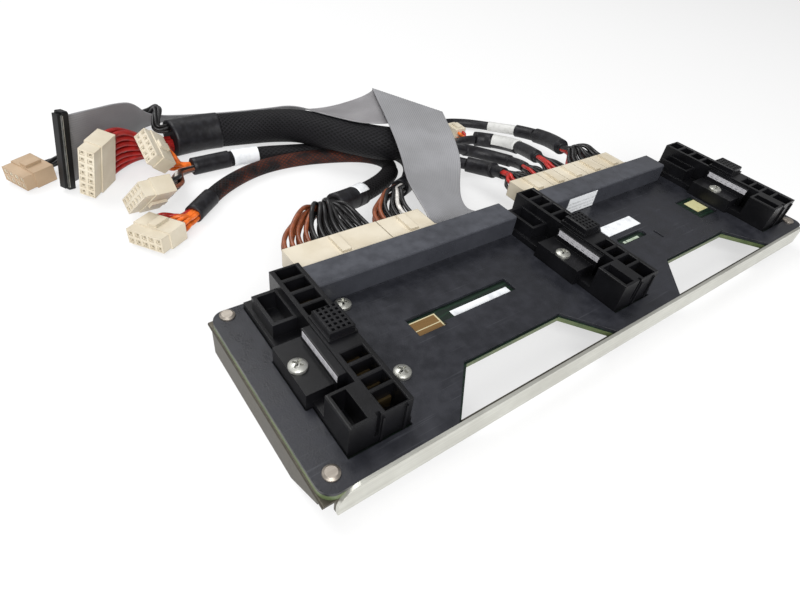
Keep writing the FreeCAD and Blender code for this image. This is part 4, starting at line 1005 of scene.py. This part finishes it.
def solid_finish(name):
    if name in SOLID_FINISHES:
        return SOLID_FINISHES[name]
    if name.endswith("contacts"):
        return CONTACT
    return CREAM if name.startswith(("plug_", "header_")) else HOUSING


for node_name, node in nodes.items():
    node.data.materials.clear()
    node.data.materials.append(solid_finish(node_name))

# Terminals: a geometry tree sets one square sleeve in each cell of a plug
CELL_HOLE, CELL_BORE, SLEEVE_DEEP, SLEEVE_SUNK = 2.6, 1.4, 3.0, 0.35


def terminal_tree():
    sizes = ("Pitch", "Row Pitch", "Hole", "Bore", "Depth", "Sunk")
    tree, (columns, pitch, row_pitch, hole, bore, depth, sunk), sockets = geometry_tree(
        "cell_terminals", {"Columns": "Int", **dict.fromkeys(sizes, "Float")})
    cells = tree.term("GeometryNodeMeshGrid", {}, {"Size X": (columns - 1) * pitch, "Size Y": row_pitch,
                                                   "Vertices X": columns, "Vertices Y": 2})
    blocks = []
    for wide, deep in ((hole, depth), (bore, depth * 2)):
        extent = tree.term("ShaderNodeCombineXYZ", {}, {"X": wide, "Y": wide, "Z": deep})
        blocks.append(tree.term("GeometryNodeMeshCube", {}, {"Size": extent}))
    hollow = tree.term("GeometryNodeMeshBoolean", {"operation": "DIFFERENCE"},
                       {"Mesh 1": blocks[0], "Mesh 2": blocks[1]})
    drop = tree.term("ShaderNodeCombineXYZ", {}, {"Z": 0 - sunk - depth / 2})
    set_in = tree.term("GeometryNodeTransform", {}, {"Geometry": hollow, "Translation": drop})
    placed = tree.term("GeometryNodeInstanceOnPoints", {}, {"Points": cells, "Instance": set_in})
    end_tree(tree, placed, CREAM)
    return tree, sockets


def cell_terminals(plug, tree, sockets):
    """The terminals of one plug at a far end, in its mating face and in its finish."""
    cells, length, middle = FAR_PLUGS[plug][:3]
    name = plug.replace("plug_", "terminals_")
    made = mesh_from_tree(name, tree, sockets, bpy.data.meshes.new("cells"), {
        "Columns": cells, "Pitch": CELL_PITCH * MM, "Row Pitch": ROW_PITCH * MM, "Hole": CELL_HOLE * MM,
        "Bore": CELL_BORE * MM, "Depth": SLEEVE_DEEP * MM, "Sunk": SLEEVE_SUNK * MM})
    along, outward, over = far_axes(plug)
    turn = Matrix((along, over, -outward)).transposed().to_4x4()
    made.transform(Matrix.Translation((at(*middle) - outward * length) * MM) @ turn)
    made.materials[0] = solid_finish(plug)
    return new_piece(name, made, [])


tree_and_sockets = terminal_tree()
terminals = {plug: cell_terminals(plug, *tree_and_sockets) for plug in FAR_PLUGS}

# Far end of the flat cable: a slim connector, the bar that clamps the cable and the bright seam between them.
# Each block's spans along the cable, across it and up, and the number of its finish
EDGE_BREAK = 0.25
CLAMP_BLOCKS = [((-2.2, 0), (-2.1, 2.1), (-20.6, 20.6), 0), ((0, 3.6), (-3.0, -0.7), (-21.4, 21.4), 0),
                ((0, 3.6), (0.7, 3.0), (-21.4, 21.4), 0), ((0, 3.6), (-2.4, 2.4), (20.0, 21.8), 0),
                ((0, 3.6), (-2.4, 2.4), (-21.8, -20.0), 0), ((-0.5, 0.4), (-3.2, -1.9), (-20.2, 20.2), 1)]


def block_into(shape, place, turn, spans, material):
    """A block with broken edges, from its spans in millimetres."""
    made = bmesh.ops.create_cube(shape, size=1.0)["verts"]
    for vertex in made:
        corner = Vector([span[1] if side > 0 else span[0] for span, side in zip(spans, vertex.co)])
        vertex.co = (place + turn @ corner) * MM
    faces = dict.fromkeys(face for vertex in made for face in vertex.link_faces)
    for face in faces:
        face.material_index = material
    edges = list(dict.fromkeys(edge for face in faces for edge in face.edges))
    bmesh.ops.bevel(shape, geom=edges, offset=EDGE_BREAK * MM, segments=2, affect="EDGES", profile=0.5)


def clamped_connector(name):
    shape = bmesh.new()
    place, turn = clamp_frame()
    for *spans, material in CLAMP_BLOCKS:
        block_into(shape, place, turn, spans, material)
    return new_piece(name, finished_mesh(name, shape), [HOUSING, STEEL],
                     ["ribbon_connector", "ribbon_bar"])


far_connector = clamped_connector("far_connector")

# Labels and strips on the board, the cover and the connectors
LABEL_THICK, COVER_THICK, HOOD_FRONT = 0.15, 1.5, 31.5
# A connector's spine: its face from the left side, the label's ends from the middle, its bottom and top
SPINE_FACE, SPINE_BACK, SPINE_FRONT, SPINE_BOTTOM, SPINE_TOP = 11.3, 6.3, -19.5, 28.5, 31.5


def flat(left, right, front, back, z, cut=0.0):
    """Outline of a flat label, its left back corner cut off where a cut is given."""
    corner = [(left + cut, back, z), (left, back - cut, z)] if cut else [(left, back, z)]
    return [(left, front, z), (right, front, z), (right, back, z)] + corner


def upright(first, last, bottom, top):
    """Outline of a label on an upright face, between two places on the board."""
    return [(*first, bottom), (*last, bottom), (*last, top), (*first, top)]


def spine_outline(connector):
    """Outline of the label on a connector's spine."""
    low, high = (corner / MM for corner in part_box("power_connector_" + connector))
    face, middle = low.x + SPINE_FACE, (low.y + high.y) / 2
    return upright((face, middle + SPINE_BACK), (face, middle + SPINE_FRONT), SPINE_BOTTOM, SPINE_TOP)


def plates(name, outlines, normal, material):
    """Thin plates from outlines of points in millimetres, standing out along their normal."""
    shape = bmesh.new()
    for outline in outlines:
        lower = [shape.verts.new(Vector(point) * MM) for point in outline]
        upper = [shape.verts.new((Vector(point) + Vector(normal) * LABEL_THICK) * MM) for point in outline]
        shape.faces.new(lower[::-1])
        shape.faces.new(upper)
        for i in range(len(outline)):
            after = (i + 1) % len(outline)
            shape.faces.new((lower[i], lower[after], upper[after], upper[i]))
    return new_piece(name, finished_mesh(name, shape), [material])


board_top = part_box("circuit_board")[1].z / MM
plates("window_strip", [flat(-80.5, -44.7, -1.5, 2.3, board_top)], UP, LABEL)
plates("window_label", [flat(120.7, 132.0, -4.2, 6.1, board_top)], UP, YELLOW)
plates("slot_strip", [flat(*ends, -3.5, -1.8, board_top) for ends in ((44.6, 46.6), (47.4, 58.4))], UP,
       PALE_GREEN)
plates("cover_label", [flat(39.1, 69.4, 4.3, 12.8, board_top + COVER_THICK, 3.0)], UP, LABEL)
plates("hood_label", [upright((31.6, HOOD_FRONT), (57, HOOD_FRONT), 18.2, 28.6)], (0, -1, 0), HOOD_LABEL)
plates("spine_labels", [spine_outline(connector) for connector in ("left", "middle", "right")], (-1, 0, 0),
       SPINE_LABEL)


# Each free cord's line, length and width, looked up and not used
def declare(label):
    line = lines[label]
    travel(line)[-1]
    widths[label] * MM


declare("trunk")
declare("left")
declare("inner")
declare("first")
declare("second")
declare("third")
declare("fourth")
declare("peach")
declare("ribbon")

# Camera, as solved from the photograph: focal length in its pixels, place and directions
IMAGE_WIDE, FOCAL_PIXELS, SENSOR = 800, 540.2514, 36.0
CAMERA_PLACE = (-0.21867, -0.11787, 0.18033)
CAMERA_RIGHT = Vector((0.805789, -0.580522, 0.117040))
CAMERA_DOWN = Vector((-0.321199, -0.594462, -0.737188))
CAMERA_AHEAD = Vector((0.497529, 0.556425, -0.665474))
camera_data = bpy.data.cameras.new("camera")
camera_data.sensor_width = SENSOR
camera_data.sensor_fit = "HORIZONTAL"
camera_data.lens = FOCAL_PIXELS / IMAGE_WIDE * SENSOR
camera_data.clip_start = 0.01
camera = bpy.data.objects.new("camera", camera_data)
camera_turn = Matrix((CAMERA_RIGHT, -CAMERA_DOWN, -CAMERA_AHEAD)).transposed().to_4x4()
camera.matrix_world = Matrix.Translation(CAMERA_PLACE) @ camera_turn
scene.collection.objects.link(camera)
scene.camera = camera

# Floor and light
WHITE, FLOOR_WHITE = (1.0, 1.0, 1.0, 1.0), (0.9, 0.9, 0.9, 1.0)
REACH, FLOOR_GLOW, ROOM_LIGHT = 3.0, 0.62, 0.35


def background_ray(tree):
    """1 on rays from the camera and on those that gloss or glass sends on, 0 on light for the object."""
    path = tree.node("ShaderNodeLightPath", {}, {})
    camera_ray, glossy, through = [Term(tree, path.outputs[name]) for name in
                                   ("Is Camera Ray", "Is Glossy Ray", "Is Transmission Ray")]
    return camera_ray.largest(glossy).largest(through)


def floor_white():
    """Matt white that glows a little to the camera, so that the floor stays pale and keeps its shadows."""
    finish = Finish("floor_white")
    finish.set(Base_Color=FLOOR_WHITE, Roughness=0.9)
    glow = finish.term("ShaderNodeEmission", {}, {"Color": WHITE, "Strength": 1.0})
    matt = Term(finish, finish.shader.outputs[0])
    shown = finish.term("ShaderNodeMixShader", {}, {0: background_ray(finish) * FLOOR_GLOW, 1: matt, 2: glow})
    finish.tree.links.new(shown.socket, finish.tree.nodes["Material Output"].inputs["Surface"])
    return finish.material


floor_mesh = bpy.data.meshes.new("floor")
floor_mesh.from_pydata([(-REACH, -REACH, 0), (REACH, -REACH, 0), (REACH, REACH, 0), (-REACH, REACH, 0)], [],
                       [(0, 1, 2, 3)])
floor_mesh.materials.append(floor_white())
floor = bpy.data.objects.new("floor", floor_mesh)
scene.collection.objects.link(floor)

world = bpy.data.worlds.new("studio")
world.use_nodes = True
background = world.node_tree.nodes["Background"]
background.inputs["Color"].default_value = WHITE
background.inputs["Strength"].default_value = ROOM_LIGHT
scene.world = world
scene.view_settings.view_transform = "Standard"


def lamp(name, place, target, size, power):
    """A square soft light that faces its target."""
    data = bpy.data.lights.new(name, "AREA")
    data.shape = "RECTANGLE"
    data.size = data.size_y = size
    data.energy = power
    light = bpy.data.objects.new(name, data)
    light.location = place
    light.rotation_euler = (Vector(target) - Vector(place)).to_track_quat("-Z", "Y").to_euler()
    scene.collection.objects.link(light)


lamp("key", (-0.3, 0.8, 1.2), (0, 0.08, 0), 0.9, 11)
lamp("fill", (-0.6, -0.9, 0.8), (0, 0.05, 0), 1.0, 20)
